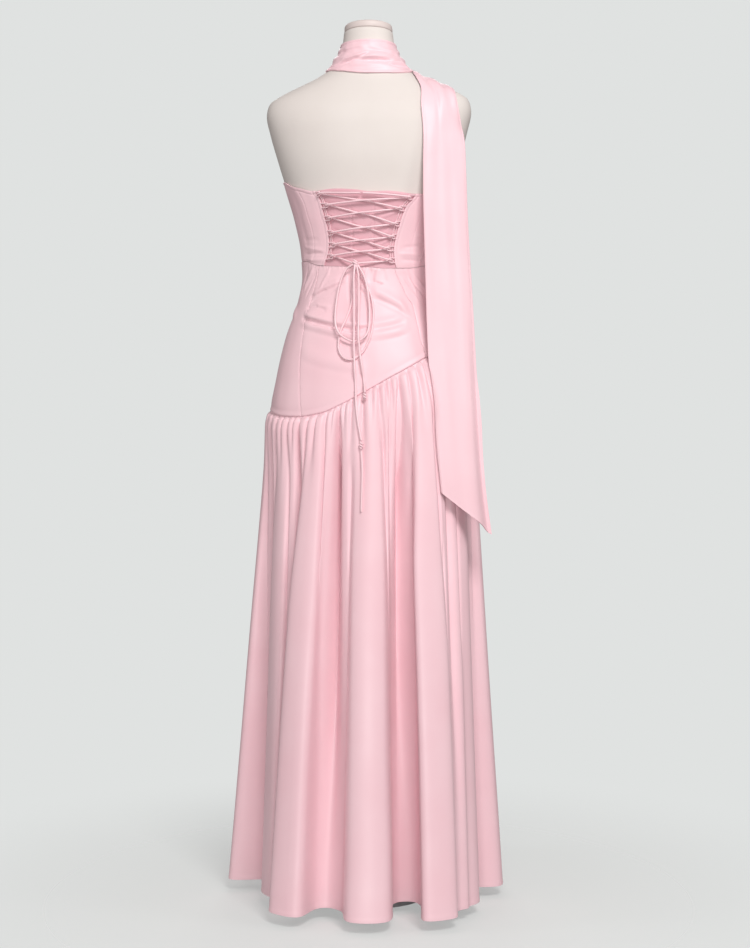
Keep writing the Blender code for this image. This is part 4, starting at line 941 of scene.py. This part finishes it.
def build_bodice_front():
    """The halter front, with soft pleats that fan down from the neck to the bust."""
    shares = np.concatenate([np.linspace(0, 0.9, 124), np.linspace(0.9, 1.0, 16)[1:]])
    across = np.linspace(-1.0, 1.0, 141)[None, :]
    turns = np.broadcast_to(180.0 + 40.0 * across, (len(shares), 141))
    for _ in range(FIT_ROUNDS):
        low = above_waist(turns)
        high = read(BAND_LOWER_EDGE, wrap(turns)) - 2 * SEAM_GAP
        heights = mix(low, high, shares[:, None])
        turns = 180.0 + read(HALTER_SPREAD, heights) * across
    fan = ease((heights - 1.27) / 0.12) * (1 - 0.4 * ease((heights - 1.44) / 0.05))
    pleats = 0.5 - 0.5 * np.cos(2 * np.pi * (3.5 * across + 0.25 * waves(across * 2, heights * 9, 1.0)))
    side = np.minimum(1 - across, across + 1)
    lift = 0.0022 * fan * pleats * ease(side / 0.10)
    under_bust = bump(heights - 1.235, 0.02) * ease(side / 0.2)
    lift = lift + 0.0010 * under_bust * waves(np.radians(turns) * 8, heights * 40, 5.0)
    reach = np.radians(read(HALTER_SPREAD, heights) * side) * 0.10
    free_edge = ease((heights - 1.300) / 0.012)
    lift = lift + edge_roll(reach) * free_edge
    for dart in (-0.42, 0.42):
        fade = ease((1.275 - heights) / 0.02)
        lift = lift - 0.0006 * fade * bump((across - dart) * 0.16, 0.0012)
    outer = on_form(turns, heights, FORM_GAP + BODICE_WALL + lift)
    inner = on_form(turns, heights, np.full(turns.shape, FORM_GAP - 0.0003))
    return make_cloth("bodice_front", outer, inner, SATIN)


def basque_lift(turns, heights):
    """How far the basque stands off the form: ease, soft creases, sharp creases and puckers at its seams."""
    below_waist = waist_height(turns) - heights
    above_seam = heights - seam_height(turns)
    from_top, from_bottom = ease(below_waist / 0.02), ease(above_seam / 0.02)
    soft = 0.0
    for turn_a, height_a, turn_b, height_b, sag, ridge, width in BASQUE_CREASES:
        near, off, fade = crease(turns, heights, (turn_a, height_a, turn_b, height_b, sag), width)
        soft = soft + ridge * (near - 0.35 * fade * bump(off + width * 1.1, width * 0.45))
    sharp = creased(turns, heights, BASQUE_FINE)
    lift = 0.0008 * from_bottom + soft * from_top * from_bottom
    lift = lift + sharp * ease(below_waist / 0.005) * from_bottom
    lift = lift + 0.0004 * waves(np.radians(turns) * 6, heights * 38, 7.0) * from_top * from_bottom
    pucker = 0.5 + 0.5 * np.sin(np.radians(turns) * 95 + 2.0 * np.sin(np.radians(turns) * 23))
    lift = lift - 0.0007 * pucker * bump(below_waist, 0.005) * ease(below_waist / 0.001)
    lift = lift + 0.0016 * ease((0.011 - above_seam) / 0.010) - 0.0016 * bump(above_seam, 0.0011)
    return np.maximum(lift, -0.0006)


def build_basque():
    pieces = (
        ("basque_back_centre", BASQUE_SEAM_RIGHT, BASQUE_SEAM_LEFT, 200, 118),
        ("basque_side_left", BASQUE_SEAM_LEFT, FRONT_SEAM_LEFT, 150, 84),
        ("basque_side_right", FRONT_SEAM_RIGHT, BASQUE_SEAM_RIGHT, 150, 84),
        ("basque_front", FRONT_SEAM_LEFT, FRONT_SEAM_FAR, 90, 66),
    )
    half_gap = math.degrees(SEAM_GAP / 2 / 0.09) * 0.5
    made = []
    for name, start, end, columns, middle_rows in pieces:
        rows = np.concatenate([np.linspace(0, 0.05, 12), np.linspace(0.05, 0.96, middle_rows)[1:],
                               np.linspace(0.96, 1, 8)[1:]])
        turns, heights = bounded_grid(
            rows, columns, edge(start, half_gap), edge(end, -half_gap),
            lambda turn: seam_height(turn) + CROSS_SEAM_GAP / 2 - 0.0004,
            lambda turn: waist_height(turn) - CROSS_SEAM_GAP / 2)
        lift = basque_lift(turns, heights)
        for seam in (start, end):
            away = np.radians(np.abs(turns - read(seam, heights))) * 0.15
            pucker = 0.6 + 0.4 * np.sin(heights * 420 + 3 * np.sin(heights * 90))
            lift = lift - 0.0010 * bump(away, 0.0011) * pucker - 0.0004 * bump(away, 0.004) * (1 - pucker)
        outer = on_form(turns, heights, FORM_GAP + BASQUE_WALL + lift)
        inner = on_form(turns, heights, FORM_GAP + np.minimum(lift, 0.0030) * 0.9)
        made.append(make_cloth(name, outer, inner, SATIN))
    return made


# The gathered skirt

FLUTE_TABLE = np.array(FLUTES)


def flute_turn(flute, at_hem):
    crest_column, valley_column = (1, 4) if at_hem else (0, 3)
    count = len(FLUTES)
    index = np.floor(flute).astype(int)
    share = flute - index
    lap, next_lap = index // count, (index + 1) // count
    crest = FLUTE_TABLE[index % count, crest_column] - 360.0 * lap
    valley = FLUTE_TABLE[index % count, valley_column] - 360.0 * lap
    crest_after = FLUTE_TABLE[(index + 1) % count, crest_column] - 360.0 * next_lap
    first = mix(crest, valley, share * 2)
    return np.where(share < 0.5, first, mix(valley, crest_after, share * 2 - 1))


def hip_radius(turn):
    place = figure_point(turn, HIP_HEIGHT)
    return np.hypot(place[..., 0], place[..., 1])


def skirt_top(flute):
    return seam_height(flute_turn(flute, False)) - CROSS_SEAM_GAP / 2


def front_gathers():
    found = []
    turn, number = -80.0, 0
    while turn > -278.0:
        uneven = math.sin(number * 2.4) * 0.5 + math.sin(number * 5.1) * 0.3
        length = 0.070 + 0.045 * math.sin(number * 1.7)
        found.append((turn, 0.0036 + 0.0010 * uneven, length, 1.3 + 0.3 * uneven))
        turn -= FRONT_GATHER_PITCH * (1 + 0.28 * uneven)
        number += 1
    return tuple(found)


GATHERS = BACK_GATHERS + front_gathers()
GATHER_DEPTH = 1.75   # the gathers' and long folds' depths are a share of these
FOLD_DEPTH = 2.0


def skirt_point(flute, level):
    """Middle of the skirt's wall: flute number with a fraction, and level from 0, seam, to 1, hem."""
    count = len(FLUTES)
    index = np.floor(flute).astype(int)
    share = flute - index
    here, after = FLUTE_TABLE[index % count], FLUTE_TABLE[(index + 1) % count]
    swell = np.where(share < 0.5, here[..., 7], after[..., 6]) * np.sin(4 * np.pi * flute)
    seam_turn = flute_turn(flute, False)
    turn = mix(seam_turn, flute_turn(flute, True), level) - swell * ease(level * 2.4)
    top = skirt_top(flute)
    height = mix(top, HEM_HEIGHT, level)
    fallen = top - height

    round_hump = 0.5 + 0.5 * np.cos(2 * np.pi * share)
    sharp_hump = np.abs(np.cos(np.pi * share))
    steep_hump = mix(round_hump, ease(round_hump), 0.55)
    hump = mix(mix(round_hump, sharp_hump, 0.45), steep_hump, ease((level - 0.25) / 0.5))
    crest = np.where(share < 0.5, here[..., 2], after[..., 2])
    hem_radius = mix(here[..., 5], crest, hump)

    held = np.maximum(height, HIP_HEIGHT)
    place = figure_point(turn, held)
    normal = figure_normal(turn, held)
    facing = np.cos(np.radians(turn)) ** 2
    fall = np.maximum(level, 1e-9) ** (1.0 - 0.22 * facing)
    spread = (hem_radius - hip_radius(turn)) * fall + 0.0030 * ease(level / 0.03)

    groove = 1.5 * here[..., 8] * bump(share - 0.5, mix(0.040, 0.085, level))
    spread = spread - groove * ease((level - 0.005) / 0.08) * (1 - 0.8 * ease((level - 0.5) / 0.45))
    for where, depth, width, start, end in SOFT_FOLDS:
        off = (flute - where + count / 2) % count - count / 2
        fade = ease((level - start) / 0.10) * ease((end - level) / 0.25)
        spread = spread - FOLD_DEPTH * depth * fade * bump(off, width * (0.55 + 0.6 * level))
    pinch = 0.0
    for where, depth, length, width in GATHERS:
        off = wrap(seam_turn - where)
        wide = 0.8 * width * (1 + fallen / 0.09)
        profile = ease(fallen / 0.004) * np.exp(-(fallen / (1.35 * length)) ** 2)
        pinch = pinch + GATHER_DEPTH * depth * profile * bump(off, wide)
    puff = 0.0058 * ease(fallen / 0.008) * np.exp(-(fallen / 0.080) ** 2)
    spread = spread + puff - pinch
    spread = spread + 0.0009 * waves(flute * 5.0, level * 6.0, 2.0) * ease(level / 0.1)

    outward = np.stack([place[..., 0], place[..., 1], np.zeros(place.shape[:-1])], axis=-1)
    outward = unit(outward)
    flat = unit(np.stack([normal[..., 0], normal[..., 1], np.zeros(place.shape[:-1])], axis=-1))
    point = place + outward * spread[..., None] + flat * (FORM_GAP + SKIRT_WALL / 2)

    on_body = figure_point(turn, height)
    inside = np.hypot(on_body[..., 0], on_body[..., 1]) + FORM_GAP + SKIRT_WALL / 2
    radius = np.hypot(point[..., 0], point[..., 1])
    lift = np.where(height > FORM_FOOT, np.maximum(inside - radius, 0.0), 0.0)
    point = point + outward * lift[..., None]
    point[..., 2] = height
    return point


def build_skirt_half(name, first, last, columns):
    levels = np.concatenate([np.linspace(0, 0.03, 13), np.linspace(0.03, 0.14, 24)[1:],
                             np.linspace(0.14, 0.985, 62)[1:], np.linspace(0.985, 1.0, 5)[1:]])
    flutes = np.linspace(first + 0.0012, last - 0.0012, columns)
    flute, level = np.meshgrid(flutes, levels)
    middle = skirt_point(flute, level)
    normals = -grid_normals(middle)
    normals[0, :, 2] = 0.0
    normals = unit(normals)
    outwards = np.sign(np.sum(normals * middle * np.array([1, 1, 0]), axis=-1).mean())
    from_hem = (1 - level) * (skirt_top(flute) - HEM_HEIGHT)
    thick = SKIRT_WALL / 2 + 0.0005 * ease(1 - np.abs(from_hem - 0.003) / 0.004)
    offset = normals * outwards * thick[..., None]
    return make_cloth(name, middle + offset, middle - normals * outwards * SKIRT_WALL / 2, SATIN)


# The scarf

def build_scarf_neck():
    columns, rows = 220, 84
    share = np.linspace(0, 1, rows)[:, None]
    turns = np.broadcast_to(wrap(np.arange(columns) * 360.0 / columns)[None, :], (rows, columns))
    heights = mix(read(BAND_LOWER_EDGE, turns), BAND_TOP, share)
    climb = 0.55 * np.sin(np.radians(turns) + 0.6)
    ridges = 0.5 - 0.5 * np.cos(2 * np.pi * (2.6 * share + climb))
    body = 0.0022 + 0.0036 * np.sin(np.pi * ease(share * 0.9 + 0.05))
    base = FORM_GAP + body * (0.55 + 0.45 * ridges) * (0.25 + 0.75 * ease(share / 0.2))
    inside = ease(share / 0.1) * ease((1 - share) / 0.1)
    lift = base + 0.0008 * waves(np.radians(turns) * 4, heights * 190, 4.0) * inside
    for turn_a, height_a, turn_b, height_b, depth, width in NECK_CREASES:
        near, off, fade = crease(turns, heights, (turn_a, height_a, turn_b, height_b, 0.0), width)
        lift = lift + depth * near - 0.5 * depth * fade * bump(off - width * 1.7, width)
    low, high = share * (heights[-1:] - heights[:1]), (1 - share) * (heights[-1:] - heights[:1])
    lift = lift + edge_roll(low, 0.0035, 0.0007) + edge_roll(high, 0.0035, 0.0007)
    outer = on_form(turns, heights, np.maximum(lift, FORM_GAP) + SCARF_WALL)
    inner = on_form(turns, heights, np.full(turns.shape, FORM_GAP - 0.0002))
    return make_cloth("scarf_neck", outer, inner, SATIN, ring=True)


def skirt_reach(turn, height):
    """How far out the skirt or the basque reaches at places of the right side."""
    flutes = np.linspace(3.5, 6.3, 220)
    top = skirt_top(flutes)
    turn, height = turn.reshape(-1, 1), height.reshape(-1, 1)
    level = (top[None, :] - height) / (top[None, :] - HEM_HEIGHT)
    places = skirt_point(np.broadcast_to(flutes[None, :], level.shape), np.clip(level, 0.0, 1.0))
    found = np.degrees(np.arctan2(places[..., 0], places[..., 1]))
    counts = (np.abs(wrap(found - turn)) < 2.2) & (level > 0)
    return np.where(counts, np.hypot(places[..., 0], places[..., 1]), 0.0).max(axis=1)


def build_scarf_tail():
    columns = 65
    across = np.linspace(0, 1, columns)
    rows = []
    for index, (inner_turn, inner_height, outer_turn, outer_height, lift) in enumerate(TAIL_ON_SHOULDER):
        turn, height = mix(inner_turn, outer_turn, across), mix(inner_height, outer_height, across)
        pleats = 0.0010 * (0.5 - 0.5 * np.cos(2 * np.pi * (2.0 * across + 0.1 * index)))
        hump = (lift + pleats * np.sin(np.pi * across)) * np.sin(np.pi * mix(0.30, 0.70, across))
        rows.append(on_form(turn, height, FORM_GAP + SCARF_WALL / 2 + hump))
    last = len(TAIL_HANGING) - 1
    for index, (ax, ay, az, bx, by, bz) in enumerate(TAIL_HANGING):
        start, end = np.array([ax, ay, az]), np.array([bx, by, bz])
        side = end - start
        outward = unit(np.array([side[1], -side[0], 0.0]))
        down = index / last
        bow = mix(0.006, 0.010, down) * np.sin(np.pi * across)
        fold = mix(0.0022, 0.0046, down) * np.sin(2 * np.pi * (1.4 * across + 0.35 * down))
        points = start + side * across[:, None] + outward * (bow + fold * np.sin(np.pi * across))[:, None]
        points[:, 2] -= 0.010 * down * (1 - down) * np.sin(np.pi * across)
        rows.append(points)
    control = np.array(rows)
    steps = np.linalg.norm(np.diff(control[:, columns // 2], axis=0), axis=1)
    walked = np.concatenate([[0.0], np.cumsum(steps)])
    wanted = np.linspace(0, walked[-1], 190)
    middle = catmull_rows(control, walked, wanted)

    share = across[None, :]
    shoulder_row = len(TAIL_ON_SHOULDER) - 1
    down = ((wanted - walked[shoulder_row]) / (walked[-1] - walked[shoulder_row]))[:, None]
    hanging = ease(down / 0.12)
    shoulder = ease((0.02 - down) / 0.10)
    normals = outward_normals(middle)
    relief = 0.0016 * hanging * np.sin(2 * np.pi * (2.1 * share + 0.5 * down) + 0.8)
    relief = relief + 0.0010 * hanging * waves(share * 5, down * 7, 6.0)
    relief = relief + 0.0010 * shoulder * np.sin(2 * np.pi * (2.5 * share + 0.6 * down) + 0.5)
    relief = relief - 0.0014 * bump(share - 0.32 - 0.5 * (down + 0.02), 0.05) * bump(down + 0.01, 0.06)
    relief = relief * ease(share / 0.06) * ease((1 - share) / 0.06)
    middle = middle + normals * relief[..., None]

    turn = np.degrees(np.arctan2(middle[..., 0], middle[..., 1]))
    low = middle[..., 2] < 1.02
    reach = np.zeros(turn.shape)
    reach[low] = skirt_reach(turn[low], middle[..., 2][low])
    radius = np.hypot(middle[..., 0], middle[..., 1])
    push = np.maximum(reach + 0.0036 - radius, 0.0)
    for _ in range(6):
        push = np.maximum(push, 0.5 * push + 0.25 * (np.roll(push, 1, 1) + np.roll(push, -1, 1)))
        inner_rows = 0.5 * push[1:-1] + 0.25 * (push[:-2] + push[2:])
        push[1:-1] = np.maximum(push[1:-1], inner_rows)
    middle[..., :2] *= (1 + push / radius)[..., None]

    normals = outward_normals(middle)
    width = np.linalg.norm(middle[:, -1] - middle[:, 0], axis=1)[:, None]
    rolled = edge_roll(share * width, 0.0030, 0.0006) + edge_roll((1 - share) * width, 0.0030, 0.0006)
    end = (1 - down) * 0.75
    rolled = rolled + edge_roll(end, 0.0030, 0.0006)
    outer = middle + normals * (SCARF_WALL / 2 + rolled)[..., None]
    inner = middle - normals * (SCARF_WALL / 2)
    return make_cloth("scarf_tail", outer, inner, SATIN)


def catmull_rows(control, walked, wanted):
    """Rows between a loft's control rows, on smooth curves down every column."""
    tangents = np.gradient(control, walked, axis=0)
    index = np.clip(np.searchsorted(walked, wanted, side="right") - 1, 0, len(walked) - 2)
    span = (walked[index + 1] - walked[index])[:, None, None]
    t = ((wanted - walked[index]) / (walked[index + 1] - walked[index]))[:, None, None]
    a, b = control[index], control[index + 1]
    m, n = tangents[index] * span, tangents[index + 1] * span
    return ((2 * t ** 3 - 3 * t ** 2 + 1) * a + (t ** 3 - 2 * t ** 2 + t) * m
            + (3 * t ** 2 - 2 * t ** 3) * b + (t ** 3 - t ** 2) * n)


# Loops, lace and bow

def vector(values):
    return Vector(tuple(float(value) for value in values))


def form_place(turn, height, lift):
    return vector(on_form(turn, height, lift))


def loop_frame(turn, height, side):
    outward = vector(figure_normal(turn, height))
    along = (form_place(turn - side, height, 0) - form_place(turn, height, 0)).normalized()
    return along, outward


def build_loops():
    """Cloth loops along both edges of the opening, and the thin loop tape that shows between them."""
    for index, (left_turn, left_height, right_turn, right_height) in enumerate(LOOPS):
        sides = (("left", 1, left_turn, left_height), ("right", -1, right_turn, right_height))
        for word, side, turn, height in sides:
            along, outward = loop_frame(turn, height, side)
            tip = form_place(turn, height, LACE_EYE) + along * LOOP_TIP
            legs = []
            for way in (1, -1):
                foot_height = height + way * LOOP_HALF_HEIGHT
                table = OPENING_LEFT if side > 0 else OPENING_RIGHT
                foot = form_place(float(read(table, foot_height)), foot_height, LOOP_FOOT) - along * 0.0012
                shoulder = tip - along * LOOP_BEND + Vector((0, 0, way * LOOP_HALF_HEIGHT * 0.86))
                legs.append((foot, foot.lerp(shoulder, 0.5) + outward * 0.0008, shoulder))
            upper, lower = legs
            route = (upper[0], upper[1], upper[2], tip, lower[2], lower[1], lower[0])
            name = "lacing_loop_%s_%d" % (word, index + 1)
            make_tube(name + "_cord", smooth_route(route, 0.0006), LOOP_RADIUS, CORD_SATIN, [name])
    build_loop_tape()


def build_loop_tape():
    """Two thin strands along each edge, from one lacing loop to the next."""
    for word, side, table, column in (("left", 1, OPENING_LEFT, 1), ("right", -1, OPENING_RIGHT, 3)):
        for strand, away in enumerate((1.6, 3.4)):
            if side > 0 and strand == 1:
                away = 2.8
            route = []
            for height in np.linspace(LOOPS[0][column] - 0.004, LOOPS[-1][column] - 0.002, 26):
                turn = float(read(table, height)) - side * away
                route.append(form_place(turn, height, 0.0034 + 0.0004 * math.sin(height * 900)))
            name = "loop_tape_%s_%d" % (word, strand + 1)
            make_tube(name, smooth_route(route, 0.0015), 0.0007, CORD_SATIN, [])


def lace_route(first_side):
    """One half of the lace, from the middle of the top bar down its zigzag to the knot."""
    route = []
    side = first_side
    for index, row in enumerate(LOOPS):
        turn, height = (row[0], row[1]) if side > 0 else (row[2], row[3])
        along, outward = loop_frame(turn, height, side)
        eye = form_place(turn, height, 0.0)
        tip = eye + along * LOOP_TIP
        past = eye + along * 0.0095
        small = Vector((0, 0, 0.0008))
        if index == 0:
            start_height = 0.5 * (LOOPS[0][1] + LOOPS[0][3]) + 0.0022
            middle_turn = 0.9 * side
            route.append(form_place(middle_turn, start_height, LACE_OVER))
            bar_height = mix(start_height, height + 0.001, 0.45)
            route.append(form_place(mix(middle_turn, turn, 0.45), bar_height, LACE_OVER))
        route.append(past + outward * LACE_OVER + small * 2)
        route.append(tip + outward * (LACE_OVER + 0.0003) + small)
        route.append(eye - along * 0.0018 + outward * LACE_EYE)
        route.append(tip + outward * (LACE_UNDER - 0.0003) - small)
        route.append(past + outward * LACE_UNDER - small * 2)
        if index + 1 < len(LOOPS):
            after = LOOPS[index + 1]
            next_turn, next_height = (after[2], after[3]) if side > 0 else (after[0], after[1])
            over = (index + (first_side > 0)) % 2 == 0
            level = LACE_OVER - 0.0004 if over else LACE_UNDER + 0.0002
            for share in (0.38, 0.62):
                turn_here = mix(turn, next_turn, share)
                height_here = mix(height - 0.002, next_height + 0.002, share)
                route.append(form_place(turn_here, height_here, level))
        side = -side
    return route


def cloth_behind(x, height):
    """How far back the cloth's outside reaches at a place of the back."""
    turn = 0.0
    for _ in range(4):
        place = figure_point(turn, height)
        turn += math.degrees((x - place[0]) / max(place[1], 0.05))
    if height > seam_height(turn):
        lift = FORM_GAP + BODICE_WALL
        if height <= waist_height(turn):
            lift = FORM_GAP + BASQUE_WALL + float(basque_lift(np.array([turn]), np.array([height]))[0])
        return float(on_form(turn, height, lift)[1])
    flutes = np.linspace(2.2, 3.8, 240)
    top = skirt_top(flutes)
    level = (top - height) / (top - HEM_HEIGHT)
    places = skirt_point(flutes, np.clip(level, 0, 1))
    near = (np.abs(places[:, 0] - x) < 0.0035) & (level > 0)
    return float(np.where(near, places[:, 1], 0.0).max()) + SKIRT_WALL / 2


def behind_cloth(x, height, distance):
    return Vector((x, cloth_behind(x, height) + distance, height))


def knot_centre():
    return behind_cloth(*KNOT_PLACE)


def knot_side(from_down, tilt, away):
    swing, lean = math.radians(from_down), math.radians(tilt)
    way = Vector((math.sin(swing) * math.cos(lean), math.sin(lean), -math.cos(swing) * math.cos(lean)))
    return knot_centre() + way * away


def wrapped_knot(name, centre, radius, half_height, turns, cord, node, lean=0.0):
    """A knot of the cord's own turns, wound round its middle and bulging there."""
    route = []
    steps = int(turns * 28)
    for step in range(steps + 1):
        share = step / steps
        around = 2 * math.pi * turns * share
        reach = (radius - cord) * (0.62 + 0.38 * math.sin(math.pi * share))
        rise = mix(half_height - cord, cord - half_height, share)
        ahead, aside = reach * math.cos(around), reach * math.sin(around)
        route.append(centre + Vector((ahead, aside, rise + lean * ahead)))
    return make_tube(name, np.array([tuple(point) for point in route]), cord, CORD_SATIN, [node])


def build_lace():
    centre = knot_centre()
    for name, side in (("lace_from_left", 1), ("lace_from_right", -1)):
        route = lace_route(side)
        last = route[-1]
        towards = last - centre
        towards.z = 0
        near = centre + towards.normalized() * (KNOT_RADIUS * 0.5)
        route.append(last.lerp(near, 0.5) + Vector((0, 0.0008, 0)))
        route.append(near)
        make_tube(name + "_cord", smooth_route(route, 0.0018), LACE_RADIUS, CORD_SATIN, [name])


def end_knot_place(name, side):
    x, height, radius, half_height, gap = END_KNOTS[name]
    return behind_cloth(x, height, radius + gap) + Vector((0, 0, side * (half_height - 0.002)))


def build_bow():
    """The bow's knot, its two loops, and the lace's ends with their small knots."""
    wrapped_knot("bow_knot_turns", knot_centre(), 0.0058, 0.0062, 2.2, FREE_CORD_RADIUS, "lace_knot", 0.5)
    short = wrapped_knot("short_end_knot", end_knot_place("lace_end_short_knot", 0), 0.0038, 0.0062, 2.0,
                         0.0017, "lace_end_short_knot", 0.3)
    long_knot = wrapped_knot("long_end_knot", end_knot_place("lace_end_long_knot", 0), 0.0040, 0.0072, 2.3,
                             0.0018, "lace_end_long_knot", 0.3)
    away = KNOT_RADIUS * 0.55
    # Name, route, start, end, what is at its far end, pieces on it
    cords = (
        ("bow_loop_large", BOW_LOOP_LARGE, knot_side(62, 10, away), knot_side(-56, 6, away), "object", []),
        ("bow_loop_small", BOW_LOOP_SMALL, knot_side(24, -24, away), knot_side(-20, -26, away), "object", []),
        ("lace_end_short", LACE_END_SHORT, knot_side(-28, 40, away), end_knot_place("lace_end_short_knot", 1),
         "knot", [short]),
        ("lace_end_long", LACE_END_LONG, knot_side(14, 40, away), end_knot_place("lace_end_long_knot", 1),
         "knot", [long_knot]),
        ("lace_end_tag", LACE_END_TAG, end_knot_place("lace_end_long_knot", -1), None, "bare", []),
    )
    for name, route, start, end, far_end, pieces in cords:
        placed = [start] + [behind_cloth(*place) for place in route]
        if end is not None:
            placed.append(end)
        points = smooth_route(placed, 0.0022)
        radii = None
        if far_end == "bare":
            radii = [1.0] * (len(points) - 2) + [0.92, 0.7]
        cord = make_tube(name + "_cord", points, FREE_CORD_RADIUS, CORD_SATIN, [name], radii)


def main():
    build_studio()
    build_form()
    build_stand()
    panel = build_modesty_panel()
    left, right = build_bodice_back()
    front = build_bodice_front()
    centre, side_left, side_right, basque_front = build_basque()
    skirt_back = build_skirt_half("skirt_back", 0, 6, 469)
    skirt_front = build_skirt_half("skirt_front", 6, 12, 301)
    neck = build_scarf_neck()
    tail = build_scarf_tail()
    build_loops()
    build_lace()
    build_bow()


main()
